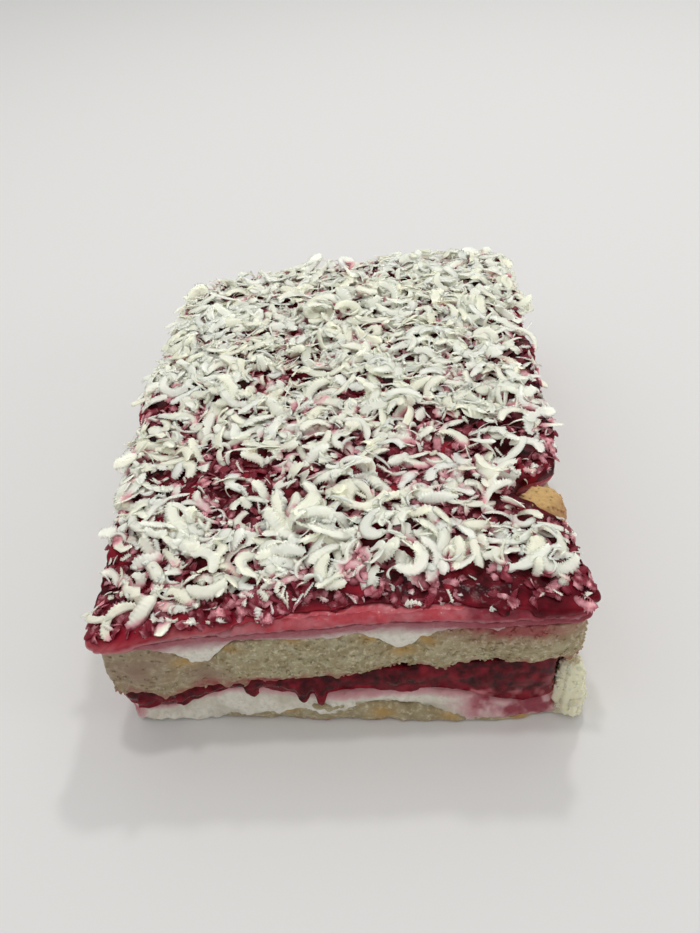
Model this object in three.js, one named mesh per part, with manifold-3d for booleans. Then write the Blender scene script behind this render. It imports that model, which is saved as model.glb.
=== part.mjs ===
// A hand-cut slab of berry tiramisu. From the base up: a thin soaked sponge, cream, berry filling, a thick
// sponge of side-by-side fingers, cream, berry-stained cream, and a berry sauce strewn with white shavings.
// Millimetres, +Z up, +X along the cut front, +Y towards the back, base on Z = 0.
import * as THREE from "three";
import { mergeVertices } from "three/addons/utils/BufferGeometryUtils.js";
import Module from "manifold-3d";

const wasm = await Module();
wasm.setup();

// Plan of the slab: four corners, a little out of square as cut by hand
const FRONT_LEFT = [-72, -105];
const FRONT_RIGHT = [74, -102.5];
const BACK_RIGHT = [74.5, 113.5];
const BACK_LEFT = [-73.5, 105.5];
const CORNER_RADII = [5, 6, 14, 18]; // front left, front right, back right, back left
const LEFT_SIDE = [
  { y: -70, reach: -1.5, width: 22 }, // how far the long sides stray outwards from straight
  { y: 18, reach: 4.5, width: 42 },
];
const RIGHT_SIDE = [{ y: -66, reach: -5, width: 32 }];
const SIDE_ZONE = [40, 70]; // the straying fades in between these distances from the middle
const CORNER_STEPS = 3;
const SIDE_STEPS = { front: 26, right: 17, back: 16, left: 17 };
const SPINE_HALF = 30; // the plan shrinks inwards on to a spine this long each way along Y
const FRONT_ZONE = [80, 100]; // features of the cut front fade in between these distances forward

// Heights of the tops of the layers, at the middle of the slab
const BASE_TOP = 6.6;
const LOWER_CREAM_TOP = 13.4;
const FILLING_TOP = 21.6;
const SPONGE_TOP = 41.8;
const CREAM_FILM = 1.8; // upper cream at the ends of the front
const CREAM_CROWN = { height: 2.6, width: 45 }; // extra upper cream along the middle
const BERRY_CREAM = 3.4;
const SAUCE = 3.2;
const RISE = 0.02; // the upper layers climb to the right by this slope
const FILLING_RISE = 0.075;
const GAP = 0.3; // clearance between layers that touch

// How unevenly the boundaries between layers lie
const BASE_WAVE = { height: 0.7, wavelength: 46, seed: 1 };
const LOWER_CREAM_WAVE = { height: 0.9, wavelength: 38, seed: 2 };
const FILLING_WAVE = { height: 1.2, wavelength: 31, seed: 3 };
const SPONGE_WAVE = { height: 0.5, wavelength: 52, seed: 4 };
const SAUCE_WAVE = { height: 0.7, wavelength: 27, seed: 6 };

// How far the edge of each layer stands out from the plan, how wavy it is, how it swells at mid-height and at
// the front right corner, and its share of the slide below
const EDGES = {
  base: { stand: 0.8, height: 0.8, wavelength: 24, seed: 11, swell: 0.5, bulge: -2, slide: 1 },
  lowerCream: { stand: -0.6, height: 0.8, wavelength: 27, seed: 12, swell: 0.7, bulge: 0, slide: 0.6 },
  filling: { stand: -1.4, height: 1, wavelength: 19, seed: 13, swell: 0.8, bulge: 0.8, slide: 0.3 },
  sponge: { stand: -0.8, height: 0.9, wavelength: 23, seed: 14, swell: 0.8, bulge: 3, slide: 0 },
  upperCream: { stand: -0.4, height: 0.7, wavelength: 29, seed: 15, swell: 0.4, bulge: 2, slide: 0 },
  berryCream: { stand: 0.3, height: 0.8, wavelength: 21, seed: 16, swell: 0.7, bulge: 2, slide: 0 },
  sauce: { stand: 1.1, height: 1.9, wavelength: 17, seed: 17, swell: 0, bulge: 3, slide: 0 },
};

// Features of the cut front
const FINGER_GROOVES = [
  { x: -41, depth: 10, width: 7, seam: 1.2 },
  { x: -1, depth: 1.8, width: 4, seam: 0.4 },
  { x: 19.5, depth: 9.5, width: 7, seam: 1.2 },
  { x: 47, depth: 1.5, width: 5, seam: 0.4 },
];
const BASE_HEAP = { x: 0, height: 2.6, width: 22 };
const BASE_THINNING = { from: 14, to: 52, right: 5.4, left: 2.6 }; // the base runs out thin to both ends
const FRONT_SLIDES = [
  { x: -62, width: 34, reach: -7 }, // how far the low layers slid back or forward when the slab was cut
  { x: 48, width: 28, reach: 3.6 },
];
const FILLING_SLUMPS = [
  { x: -62, depth: 3, width: 14 }, // where the filling sank into the lower cream
  { x: 56, depth: 7.6, width: 14 },
];
const CREAM_SWELL = { x: -30, height: 2.6, width: 14 };
const CORNER_DROOP = { radius: 28, berryCream: 2, sauce: 1 }; // thinner topping at the front left
const CORNER_SPILL = { radius: 15, reach: 2.6 }; // sauce that hangs over the front left corner
const CORNER_BULGE_RADIUS = 24; // of the front right corner
const SAUCE_RECESS = { x: 14, width: 40, depth: 6.5 }; // the sauce stops short of the front here

// Rings of points that shape each layer, as shares of the way from the plan to the spine
const CORE_SHARE = 0.09;
const SAUCE_TOP_SHARES = [0.06, 0.14, 0.27, 0.43, 0.64];
const SAUCE_RIM = { foot: -0.4, belly: 0.7, bellyHeight: 0.35, lip: -0.9, lipHeight: 0.8 };

// The finger end that shows through the topping at the right edge
const TIP = { x: 65, y: -58, halfX: 7, halfY: 8.5, foot: 30, shoulder: 48, top: 51.5 };
const TIP_NOTCH = { x: 70, y: -58, halfX: 14, halfY: 10.4, foot: 30, shoulder: 62, top: 63 };
const TIP_BROW = { reach: 0.7, rise: 0.75 }; // where the upper edge is rounded over, as shares
const TIP_SIDES = 12;

// The lump of base sponge that stands up past the cream and the filling at the front right corner
const CORNER_CRUMB = { x: 70, y: -101.5, halfX: 4.5, halfY: 5, foot: 1, shoulder: 18, top: 23 };
const CORNER_NOTCH = { x: 71.5, y: -103, halfX: 6.7, halfY: 7.3, foot: 0, shoulder: 40, top: 41 };

// White shavings: bent strips, the largest ones
const SHAVING_COLUMNS = 8;
const SHAVING_ROWS = 10;
const SHAVING_FIELD = { left: -68, right: 68, front: -96, back: 98 };
const SHAVING_SPREAD = [0.2, 0.8]; // where in its cell of the field each one may lie
const SHAVING_LENGTH = [13, 22];
const SHAVING_WIDTH = [3.8, 5.6];
const SHAVING_THICKNESS = 1.3;
const SHAVING_TAPER = 0.3; // share of its width lost at the ends
const SHAVING_BEND = [0.9, 2.9]; // radians from end to end
const SHAVING_LEAN = [0.15, 1]; // radians that the bend leans over from upright
const SHAVING_STEPS = 4;
const SHAVING_SINK = 1.2; // how deep its ends sit in the sauce
const TIP_CLEARANCE = 15;
const SEED = 930;

const COLOURS = {
  sponge: new THREE.Color(0.78, 0.7, 0.5),
  cream: new THREE.Color(0.9, 0.89, 0.82),
  filling: new THREE.Color(0.36, 0.03, 0.07),
  berryCream: new THREE.Color(0.78, 0.27, 0.31),
  sauce: new THREE.Color(0.45, 0.03, 0.07),
};

const { clamp, lerp, smoothstep } = THREE.MathUtils;

// Returns a repeatable stream of numbers from 0 to 1.
function randomStream(seed) {
  let state = seed >>> 0;
  return () => {
    state = (state + 0x6d2b79f5) >>> 0;
    let t = Math.imul(state ^ (state >>> 15), 1 | state);
    t = (t + Math.imul(t ^ (t >>> 7), 61 | t)) ^ t;
    return ((t ^ (t >>> 14)) >>> 0) / 2 ** 32;
  };
}

const hump = (distance, width) => Math.exp(-((distance / width) ** 2));
const humpAt = (feature, x) => hump(x - feature.x, feature.width);
const nearFront = (y) => smoothstep(-y, ...FRONT_ZONE);
const cornerHump = ([cornerX, cornerY], radius, x, y) => hump(Math.hypot(x - cornerX, y - cornerY), radius);
const cornerDroop = (x, y) => cornerHump(FRONT_LEFT, CORNER_DROOP.radius, x, y);
const cornerBulge = (x, y) => cornerHump(FRONT_RIGHT, CORNER_BULGE_RADIUS, x, y);

// A smooth uneven wave over the plan: three crossing wave trains. The seed shifts their crests.
function ripple(wave, x, y) {
  const k = (2 * Math.PI) / wave.wavelength;
  const first = Math.sin(k * (0.82 * x + 0.57 * y) + 1.7 * wave.seed);
  const second = Math.sin(1.27 * k * (0.87 * y - 0.5 * x) + 2.9 * wave.seed);
  const third = Math.sin(0.61 * k * (x + 0.2 * y) + 4.1 * wave.seed);
  return (wave.height * (first + second + third)) / 3;
}

// Heights of the boundaries between layers, as functions of the plan position
const grooveDepth = (x) => FINGER_GROOVES.reduce((sum, g) => sum + g.depth * humpAt(g, x), 0);
const seamDepth = (x) => FINGER_GROOVES.reduce((sum, g) => sum + g.seam * humpAt(g, x), 0);

function baseTop(x, y) {
  const heap = BASE_HEAP.height * humpAt(BASE_HEAP, x);
  const { from, to, right, left } = BASE_THINNING;
  const thinning = right * smoothstep(x, from, to) + left * smoothstep(-x, from, to);
  return BASE_TOP + nearFront(y) * (heap - thinning) + ripple(BASE_WAVE, x, y);
}

function lowerCreamTop(x, y) {
  const swell = CREAM_SWELL.height * humpAt(CREAM_SWELL, x);
  const slump = FILLING_SLUMPS.reduce((sum, s) => sum + s.depth * humpAt(s, x), 0);
  return LOWER_CREAM_TOP + nearFront(y) * (swell - slump) + ripple(LOWER_CREAM_WAVE, x, y);
}

const fillingTop = (x, y) => FILLING_TOP + FILLING_RISE * x + ripple(FILLING_WAVE, x, y);
const fingerCrest = (x, y) => SPONGE_TOP + RISE * x + ripple(SPONGE_WAVE, x, y);
const spongeTop = (x, y) => fingerCrest(x, y) - grooveDepth(x);
const upperCreamTop = (x, y) =>
  fingerCrest(x, y) + CREAM_FILM + CREAM_CROWN.height * hump(x, CREAM_CROWN.width);
const berryCreamTop = (x, y) =>
  upperCreamTop(x, y) + BERRY_CREAM - CORNER_DROOP.berryCream * cornerDroop(x, y);
const sauceThickness = (x, y) =>
  SAUCE - CORNER_DROOP.sauce * cornerDroop(x, y) + ripple(SAUCE_WAVE, x, y);
const sauceTop = (x, y) => berryCreamTop(x, y) + sauceThickness(x, y);

// How far the edges of the layers stand out from the plan
const frontSlide = (x, y) => nearFront(y) * FRONT_SLIDES.reduce((sum, s) => sum + s.reach * humpAt(s, x), 0);
const edgeOutset = (edge) => (x, y) =>
  edge.stand + ripple(edge, x, y) + edge.bulge * cornerBulge(x, y) + edge.slide * frontSlide(x, y);
const spongeOutset = (x, y) => edgeOutset(EDGES.sponge)(x, y) - nearFront(y) * seamDepth(x);
const sauceSpill = (x, y) => CORNER_SPILL.reach * cornerHump(FRONT_LEFT, CORNER_SPILL.radius, x, y);
const sauceRecess = (x, y) => SAUCE_RECESS.depth * nearFront(y) * humpAt(SAUCE_RECESS, x);
const sauceOutset = (x, y) => edgeOutset(EDGES.sauce)(x, y) + sauceSpill(x, y) - sauceRecess(x, y);

function sideStray(x, y) {
  const side = x < 0 ? LEFT_SIDE : RIGHT_SIDE;
  const reach = side.reduce((sum, s) => sum + s.reach * hump(y - s.y, s.width), 0);
  return Math.sign(x) * reach * smoothstep(Math.abs(x), ...SIDE_ZONE);
}

// Points round the plan, anticlockwise from above, each with its place on the spine and its way out.
function planColumns() {
  const corners = [FRONT_LEFT, FRONT_RIGHT, BACK_RIGHT, BACK_LEFT].map((c) => new THREE.Vector2(...c));
  const steps = [SIDE_STEPS.front, SIDE_STEPS.right, SIDE_STEPS.back, SIDE_STEPS.left];
  const rounds = corners.map((corner, i) => {
    const before = corners[(i + 3) % 4].clone().sub(corner).setLength(CORNER_RADII[i]).add(corner);
    const after = corners[(i + 1) % 4].clone().sub(corner).setLength(CORNER_RADII[i]).add(corner);
    return new THREE.QuadraticBezierCurve(before, corner, after).getPoints(CORNER_STEPS);
  });
  const points = rounds.flatMap((round, i) => {
    const side = new THREE.LineCurve(round[CORNER_STEPS], rounds[(i + 1) % 4][0]);
    return [...round.slice(0, CORNER_STEPS), ...side.getPoints(steps[i]).slice(0, steps[i])];
  });
  return points.map((point) => {
    point.x += sideStray(point.x, point.y);
    const spine = new THREE.Vector2(0, clamp(point.y, -SPINE_HALF, SPINE_HALF));
    return { x: point.x, y: point.y, spine, out: point.clone().sub(spine).normalize() };
  });
}

const columns = planColumns();

// One ring of points that stands out from the plan by outset, with the height above each point of the plan.
function edgeRing(outset, height) {
  return columns.map((c) => {
    const reach = outset(c.x, c.y);
    return new THREE.Vector3(c.x + c.out.x * reach, c.y + c.out.y * reach, height(c.x, c.y));
  });
}

// One ring of points part of the way from the plan to the spine.
const inward = (column, share) => new THREE.Vector2(column.x, column.y).lerp(column.spine, share);

function innerRing(share, height) {
  return columns.map((c) => {
    const { x, y } = inward(c, share);
    return new THREE.Vector3(x, y, height(x, y));
  });
}

// The ring behind a layer's edge. It keeps the height of the edge, so that layers of unequal reach meet.
function coreRing(height) {
  return columns.map((c) => {
    const { x, y } = inward(c, CORE_SHARE);
    return new THREE.Vector3(x, y, height(c.x, c.y));
  });
}

// The triangles of a wall through rings of `count` points each, from the bottom ring to the top one.
function wallFaces(rings, count) {
  const faces = [];
  for (let ring = 0; ring + 1 < rings; ring++) {
    for (let i = 0; i < count; i++) {
      const a = ring * count + i;
      const b = ring * count + ((i + 1) % count);
      faces.push([a, b, b + count], [a, b + count, a + count]);
    }
  }
  return faces;
}

// The triangles that close a ring, from index `start` on, over the two ends of the spine, facing up.
function spineFaces(start, frontEnd, backEnd) {
  const endOf = (column) => (column.y < 0 ? frontEnd : backEnd);
  return columns.flatMap((column, i) => {
    const j = (i + 1) % columns.length;
    const [here, next] = [endOf(column), endOf(columns[j])];
    const face = [start + i, start + j, here];
    return here === next ? [face] : [face, [start + j, next, here]];
  });
}

const flipped = (faces) => faces.map(([a, b, c]) => [a, c, b]);

function meshOf(points, faces) {
  const geometry = new THREE.BufferGeometry().setFromPoints(points);
  return geometry.setIndex(faces.flat());
}

// A closed solid through rings round the slab, from the bottom one up, with its ends at these heights inside.
function slabSolid(rings, bottomHeight, topHeight) {
  const ends = [bottomHeight, topHeight].flatMap((height) =>
    [-SPINE_HALF, SPINE_HALF].map((y) => new THREE.Vector3(0, y, height(0, y))),
  );
  const inside = rings.length * columns.length;
  const faces = [
    ...wallFaces(rings.length, columns.length),
    ...flipped(spineFaces(0, inside, inside + 1)),
    ...spineFaces(inside - columns.length, inside + 2, inside + 3),
  ];
  return toSolid(meshOf([...rings.flat(), ...ends], faces));
}

// A layer between two boundaries, with its side swelling out at mid-height.
function layerSolid(lower, upper, outset, swell) {
  const low = (x, y) => lower(x, y) + GAP / 2;
  const high = (x, y) => upper(x, y) - GAP / 2;
  const middle = (x, y) => (low(x, y) + high(x, y)) / 2;
  const swollen = (x, y) => outset(x, y) + swell;
  const rings = [
    coreRing(low),
    edgeRing(outset, low),
    edgeRing(swollen, middle),
    edgeRing(outset, high),
    coreRing(high),
  ];
  return slabSolid(rings, low, high);
}

// The sauce: a rounded rim and an uneven top.
function sauceSolid() {
  const low = (x, y) => berryCreamTop(x, y) + GAP / 2;
  const level = (share) => (x, y) => low(x, y) + share * sauceThickness(x, y);
  const rim = (extra) => (x, y) => sauceOutset(x, y) + extra;
  const rings = [
    coreRing(low),
    edgeRing(rim(SAUCE_RIM.foot), low),
    edgeRing(rim(SAUCE_RIM.belly), level(SAUCE_RIM.bellyHeight)),
    edgeRing(rim(SAUCE_RIM.lip), level(SAUCE_RIM.lipHeight)),
    ...SAUCE_TOP_SHARES.map((share) => innerRing(share, sauceTop)),
  ];
  return slabSolid(rings, low, sauceTop);
}

// A bent strip with a four-sided section, its ends down and its middle up, centred on the origin.
function shavingGeometry(length, width, bend) {
  const radius = length / bend;
  const [inner, outer] = [radius - SHAVING_THICKNESS / 2, radius + SHAVING_THICKNESS / 2];
  const foot = radius * Math.cos(bend / 2);
  const rings = [];
  for (let step = 0; step <= SHAVING_STEPS; step++) {
    const along = (2 * step) / SHAVING_STEPS - 1;
    const angle = (along * bend) / 2;
    const across = (width / 2) * (1 - SHAVING_TAPER * along ** 2);
    const corner = (r, side) =>
      new THREE.Vector3(r * Math.sin(angle), side * across, r * Math.cos(angle) - foot);
    rings.push([corner(inner, -1), corner(inner, 1), corner(outer, 1), corner(outer, -1)]);
  }
  const end = [
    [0, 1, 2],
    [0, 2, 3],
  ];
  const last = SHAVING_STEPS * rings[0].length;
  const farEnd = end.map((face) => face.map((i) => last + i));
  return meshOf(rings.flat(), [...wallFaces(rings.length, rings[0].length), ...flipped(end), ...farEnd]);
}

// Conversions between geometry and solids that can be joined and cut
function toSolid(geometry) {
  const bare = new THREE.BufferGeometry().setAttribute("position", geometry.getAttribute("position"));
  const merged = mergeVertices(bare.setIndex(geometry.index), 1e-4);
  const mesh = new wasm.Mesh({
    numProp: 3,
    vertProperties: new Float32Array(merged.getAttribute("position").array),
    triVerts: new Uint32Array(merged.index.array),
  });
  return new wasm.Manifold(mesh);
}

function toGeometry(solid) {
  const mesh = solid.getMesh();
  const geometry = new THREE.BufferGeometry();
  geometry.setAttribute("position", new THREE.BufferAttribute(new Float32Array(mesh.vertProperties), 3));
  geometry.setIndex(new THREE.BufferAttribute(new Uint32Array(mesh.triVerts), 1));
  return geometry;
}

// An upright oval peg with its upper edge drawn in to a crown: a lump of sponge, or the notch round it.
function pegSolid(peg) {
  const profile = [
    new THREE.Vector2(0, peg.foot),
    new THREE.Vector2(1, peg.foot),
    new THREE.Vector2(1, peg.shoulder),
    new THREE.Vector2(TIP_BROW.reach, lerp(peg.shoulder, peg.top, TIP_BROW.rise)),
    new THREE.Vector2(0, peg.top),
  ];
  const round = new THREE.LatheGeometry(profile, TIP_SIDES).rotateX(Math.PI / 2);
  return toSolid(round.scale(peg.halfX, peg.halfY, 1).translate(peg.x, peg.y, 0));
}

// Every large shaving, one to a cell of a grid over the top, turned and leaned at random.
function shavingSolids() {
  const random = randomStream(SEED);
  const between = ([low, high]) => lerp(low, high, random());
  const { left, right, front, back } = SHAVING_FIELD;
  const cellX = (right - left) / SHAVING_COLUMNS;
  const cellY = (back - front) / SHAVING_ROWS;
  const solids = [];
  for (let row = 0; row < SHAVING_ROWS; row++) {
    for (let column = 0; column < SHAVING_COLUMNS; column++) {
      const x = left + cellX * (column + between(SHAVING_SPREAD));
      const y = front + cellY * (row + between(SHAVING_SPREAD));
      const strip = shavingGeometry(between(SHAVING_LENGTH), between(SHAVING_WIDTH), between(SHAVING_BEND));
      const side = random() < 0.5 ? -1 : 1;
      strip.rotateX(side * between(SHAVING_LEAN)).rotateZ(2 * Math.PI * random());
      strip.computeBoundingBox();
      const lift = sauceTop(x, y) - SHAVING_SINK - strip.boundingBox.min.z;
      if (Math.hypot(x - TIP.x, y - TIP.y) > TIP_CLEARANCE) {
        solids.push(toSolid(strip.translate(x, y, lift)));
      }
    }
  }
  return solids;
}

// The layers, from the base up
const floor = () => -GAP / 2; // the base rests on Z = 0
const tip = pegSolid(TIP);
const notch = pegSolid(TIP_NOTCH); // the topping is missing round the finger end
const cornerCrumb = pegSolid(CORNER_CRUMB);
const cornerNotch = pegSolid(CORNER_NOTCH);
const plainLayer = (lower, upper, edge) => layerSolid(lower, upper, edgeOutset(edge), edge.swell);

const baseSponge = plainLayer(floor, baseTop, EDGES.base).add(cornerCrumb);
const lowerCream = plainLayer(baseTop, lowerCreamTop, EDGES.lowerCream).subtract(cornerNotch);
const filling = plainLayer(lowerCreamTop, fillingTop, EDGES.filling).subtract(cornerNotch);
const upperSponge = layerSolid(fillingTop, spongeTop, spongeOutset, EDGES.sponge.swell).add(tip);
const upperCream = plainLayer(spongeTop, upperCreamTop, EDGES.upperCream).subtract(notch);
const berryCream = plainLayer(upperCreamTop, berryCreamTop, EDGES.berryCream).subtract(notch);
const bareSauce = sauceSolid().subtract(notch);
const sauce = shavingSolids().reduce((joined, shaving) => joined.add(shaving), bareSauce);

function node(name, solid, color, roughness) {
  const material = new THREE.MeshStandardMaterial({ color, roughness, metalness: 0 });
  const mesh = new THREE.Mesh(toGeometry(solid), material);
  mesh.name = name;
  return mesh;
}

const slab = new THREE.Group();
slab.add(
  node("base_sponge", baseSponge, COLOURS.sponge, 0.9),
  node("lower_cream", lowerCream, COLOURS.cream, 0.5),
  node("berry_filling", filling, COLOURS.filling, 0.25),
  node("upper_sponge", upperSponge, COLOURS.sponge, 0.9),
  node("upper_cream", upperCream, COLOURS.cream, 0.5),
  node("berry_cream", berryCream, COLOURS.berryCream, 0.35),
  node("berry_sauce", sauce, COLOURS.sauce, 0.2),
);

// The origin is the middle of the base of the slab's box.
const box = new THREE.Box3().setFromObject(slab);
const centre = box.getCenter(new THREE.Vector3());
slab.position.set(-centre.x, -centre.y, -box.min.z);

const tiramisu = new THREE.Group();
tiramisu.add(slab);

export default tiramisu;
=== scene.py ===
"""Dresses a hand-cut slab of berry tiramisu.

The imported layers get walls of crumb, cream and fruit, the sauce gets its lumps, and the top is strewn with
curled white shavings that settle on each other. Lengths are in millimetres until a mesh is made.
"""
import itertools
import logging
import math
from dataclasses import dataclass, field
from enum import Enum

import bpy
import numpy as np
from mathutils import Euler, Matrix, Vector
from mathutils.bvhtree import BVHTree


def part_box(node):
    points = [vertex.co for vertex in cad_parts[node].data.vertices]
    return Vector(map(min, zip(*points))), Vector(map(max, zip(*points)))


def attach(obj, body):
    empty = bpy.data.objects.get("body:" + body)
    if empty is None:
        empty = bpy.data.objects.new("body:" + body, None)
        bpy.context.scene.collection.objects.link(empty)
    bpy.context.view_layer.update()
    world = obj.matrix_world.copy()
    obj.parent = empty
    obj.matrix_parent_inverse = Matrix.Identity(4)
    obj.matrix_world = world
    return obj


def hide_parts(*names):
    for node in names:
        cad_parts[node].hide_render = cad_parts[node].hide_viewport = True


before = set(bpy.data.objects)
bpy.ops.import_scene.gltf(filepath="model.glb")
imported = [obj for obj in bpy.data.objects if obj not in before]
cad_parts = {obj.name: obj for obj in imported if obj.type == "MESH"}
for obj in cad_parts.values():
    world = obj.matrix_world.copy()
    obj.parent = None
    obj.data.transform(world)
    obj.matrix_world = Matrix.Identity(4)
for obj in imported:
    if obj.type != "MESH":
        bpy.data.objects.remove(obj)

LOG = logging.getLogger("tiramisu")
Array = np.ndarray
Colour = tuple[float, float, float]
Place = tuple[float, float, float]
Socket = bpy.types.NodeSocket
MM = 0.001
BODY = "root"
ABOVE = 90.0  # heights that clear the slab above and below
BELOW = -10.0
FRONT_FADE = (84.0, 97.0)  # the cut front fades in between these distances forward


class Layer(Enum):
    """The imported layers, from the base up."""

    BASE = "base_sponge"
    LOWER_CREAM = "lower_cream"
    FILLING = "berry_filling"
    SPONGE = "upper_sponge"
    UPPER_CREAM = "upper_cream"
    BAND = "berry_cream"
    SAUCE = "berry_sauce"


class Slot(Enum):
    """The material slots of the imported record."""

    SPONGE = "sponge"
    CREAM = "cream"
    FILLING = "berry_filling"
    BAND = "berry_cream"
    SAUCE = "berry_sauce"


# Uneven patterns in space

def smooth(value: Array, low: float, high: float) -> Array:
    """Ease from 0 at `low` to 1 at `high`; `high` may be the smaller one."""
    t = np.clip((np.asarray(value, float) - low) / (high - low), 0.0, 1.0)
    return t * t * (3.0 - 2.0 * t)


def hump(distance: Array, width: float) -> Array:
    """A soft bell, 1 at no distance."""
    return np.exp(-((distance / width) ** 2))


def lattice(cell: Array, seed: int) -> Array:
    """Give every whole-number cell of space a repeatable value.

    Args:
        cell: Whole-number coordinates, in the last axis.
        seed: Picks another set of values.

    Returns:
        One value from 0 to 1 for each cell.
    """
    c = cell.astype(np.int64).astype(np.uint32)
    h = c[..., 0] * np.uint32(374761393) + c[..., 1] * np.uint32(668265263)
    h = h + c[..., 2] * np.uint32(2246822519) + np.uint32((seed * 3266489917) & 0xFFFFFFFF)
    h = (h ^ (h >> np.uint32(13))) * np.uint32(1274126177)
    return (h ^ (h >> np.uint32(16))).astype(float) / 2**32


def noise(points: Array, size: float, seed: int) -> Array:
    """Smooth noise from -1 to 1.

    Args:
        points: Places, in the last axis.
        size: Width of the features.
        seed: Picks another pattern.

    Returns:
        One value for each place.
    """
    p = points / size
    base = np.floor(p)
    f = p - base
    f = f * f * (3.0 - 2.0 * f)
    total = np.zeros(points.shape[:-1])
    for corner in itertools.product((0, 1), repeat=3):
        weight = np.prod(np.where(np.array(corner) == 1, f, 1.0 - f), axis=-1)
        total += weight * lattice(base + np.array(corner), seed)
    return 2.0 * total - 1.0


def fractal(points: Array, size: float, seed: int, octaves: int = 3) -> Array:
    """Noise with ever finer detail, each octave half as wide and half as strong as the last."""
    parts = [0.5**k * noise(points, size * 0.5**k, seed + k) for k in range(octaves)]
    return np.sum(parts, axis=0) / (2.0 - 0.5 ** (octaves - 1))


def cells(points: Array, size: float, seed: int) -> tuple[Array, Array]:
    """Uneven cells that fill space.

    Args:
        points: Places, in the last axis.
        size: Usual width of a cell.
        seed: Picks another pattern.

    Returns:
        The distance to the nearest cell's centre, in cell widths, and that cell's own value from 0 to 1.
    """
    p = points / size
    base = np.floor(p)
    best = np.full(points.shape[:-1], 9.0)
    value = np.zeros_like(best)
    for step in itertools.product((-1, 0, 1), repeat=3):
        cell = base + np.array(step)
        centre = cell + np.stack([lattice(cell, seed + k) for k in range(3)], axis=-1)
        distance = np.linalg.norm(p - centre, axis=-1)
        nearer = distance < best
        best = np.where(nearer, distance, best)
        value = np.where(nearer, lattice(cell, seed + 3), value)
    return best, value


@dataclass(frozen=True)
class Ripple:
    """Unevenness of a given depth and width, with a pattern of its own."""

    depth: float
    size: float
    pattern: int
    octaves: int = 3

    def at(self, points: Array, seed: int) -> Array:
        """How far each place stands out."""
        return self.depth * fractal(points, self.size, seed + self.pattern, self.octaves)


def rippled(ripples: tuple[Ripple, ...], points: Array, seed: int) -> Array:
    """How far each place stands out with several ripples laid over each other."""
    return sum(ripple.at(points, seed) for ripple in ripples)


# Meshes

def new_mesh(name: str, points: Array, faces: list[Array]) -> bpy.types.Mesh:
    """Make a smooth-shaded mesh.

    Args:
        name: Name of the mesh.
        points: Corners, in millimetres.
        faces: Arrays of faces, each with three or four corners.

    Returns:
        The mesh, in metres.
    """
    mesh = bpy.data.meshes.new(name)
    mesh.vertices.add(len(points))
    mesh.vertices.foreach_set("co", (points * MM).astype(np.float32).ravel())
    loops = np.concatenate([f.ravel() for f in faces]).astype(np.int32)
    sizes = np.concatenate([np.full(len(f), f.shape[1]) for f in faces])
    mesh.loops.add(len(loops))
    mesh.loops.foreach_set("vertex_index", loops)
    mesh.polygons.add(len(sizes))
    mesh.polygons.foreach_set("loop_start", (np.cumsum(sizes) - sizes).astype(np.int32))
    mesh.polygons.foreach_set("use_smooth", np.ones(len(sizes), bool))
    mesh.update(calc_edges=True)
    mesh.validate()
    return mesh


def set_attribute(mesh: bpy.types.Mesh, name: str, values: Array) -> None:
    """Store one number for each corner point of a mesh."""
    attribute = mesh.attributes.new(name, "FLOAT", "POINT")
    attribute.data.foreach_set("value", np.asarray(values, np.float32).ravel())


def new_object(mesh: bpy.types.Mesh) -> bpy.types.Object:
    """Put a mesh into the scene.

    Args:
        mesh: The mesh.

    Returns:
        An object of the same name.
    """
    piece = bpy.data.objects.new(mesh.name, mesh)
    bpy.context.scene.collection.objects.link(piece)
    return piece


def dressed(mesh: bpy.types.Mesh, material: bpy.types.Material, layer: Layer) -> bpy.types.Object:
    """Dress a finished mesh, tie it to the slab and report it.

    Args:
        mesh: The mesh, in its place.
        material: Its material.
        layer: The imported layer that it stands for.

    Returns:
        The piece.
    """
    if not mesh.materials:
        mesh.materials.append(material)
    piece = new_object(mesh)
    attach(piece, BODY)
    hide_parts(layer.value)
    triangles = sum(len(p.vertices) - 2 for p in mesh.polygons)
    LOG.info("%s: %d triangles", piece.name, triangles)
    return piece


# Finishes

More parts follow.
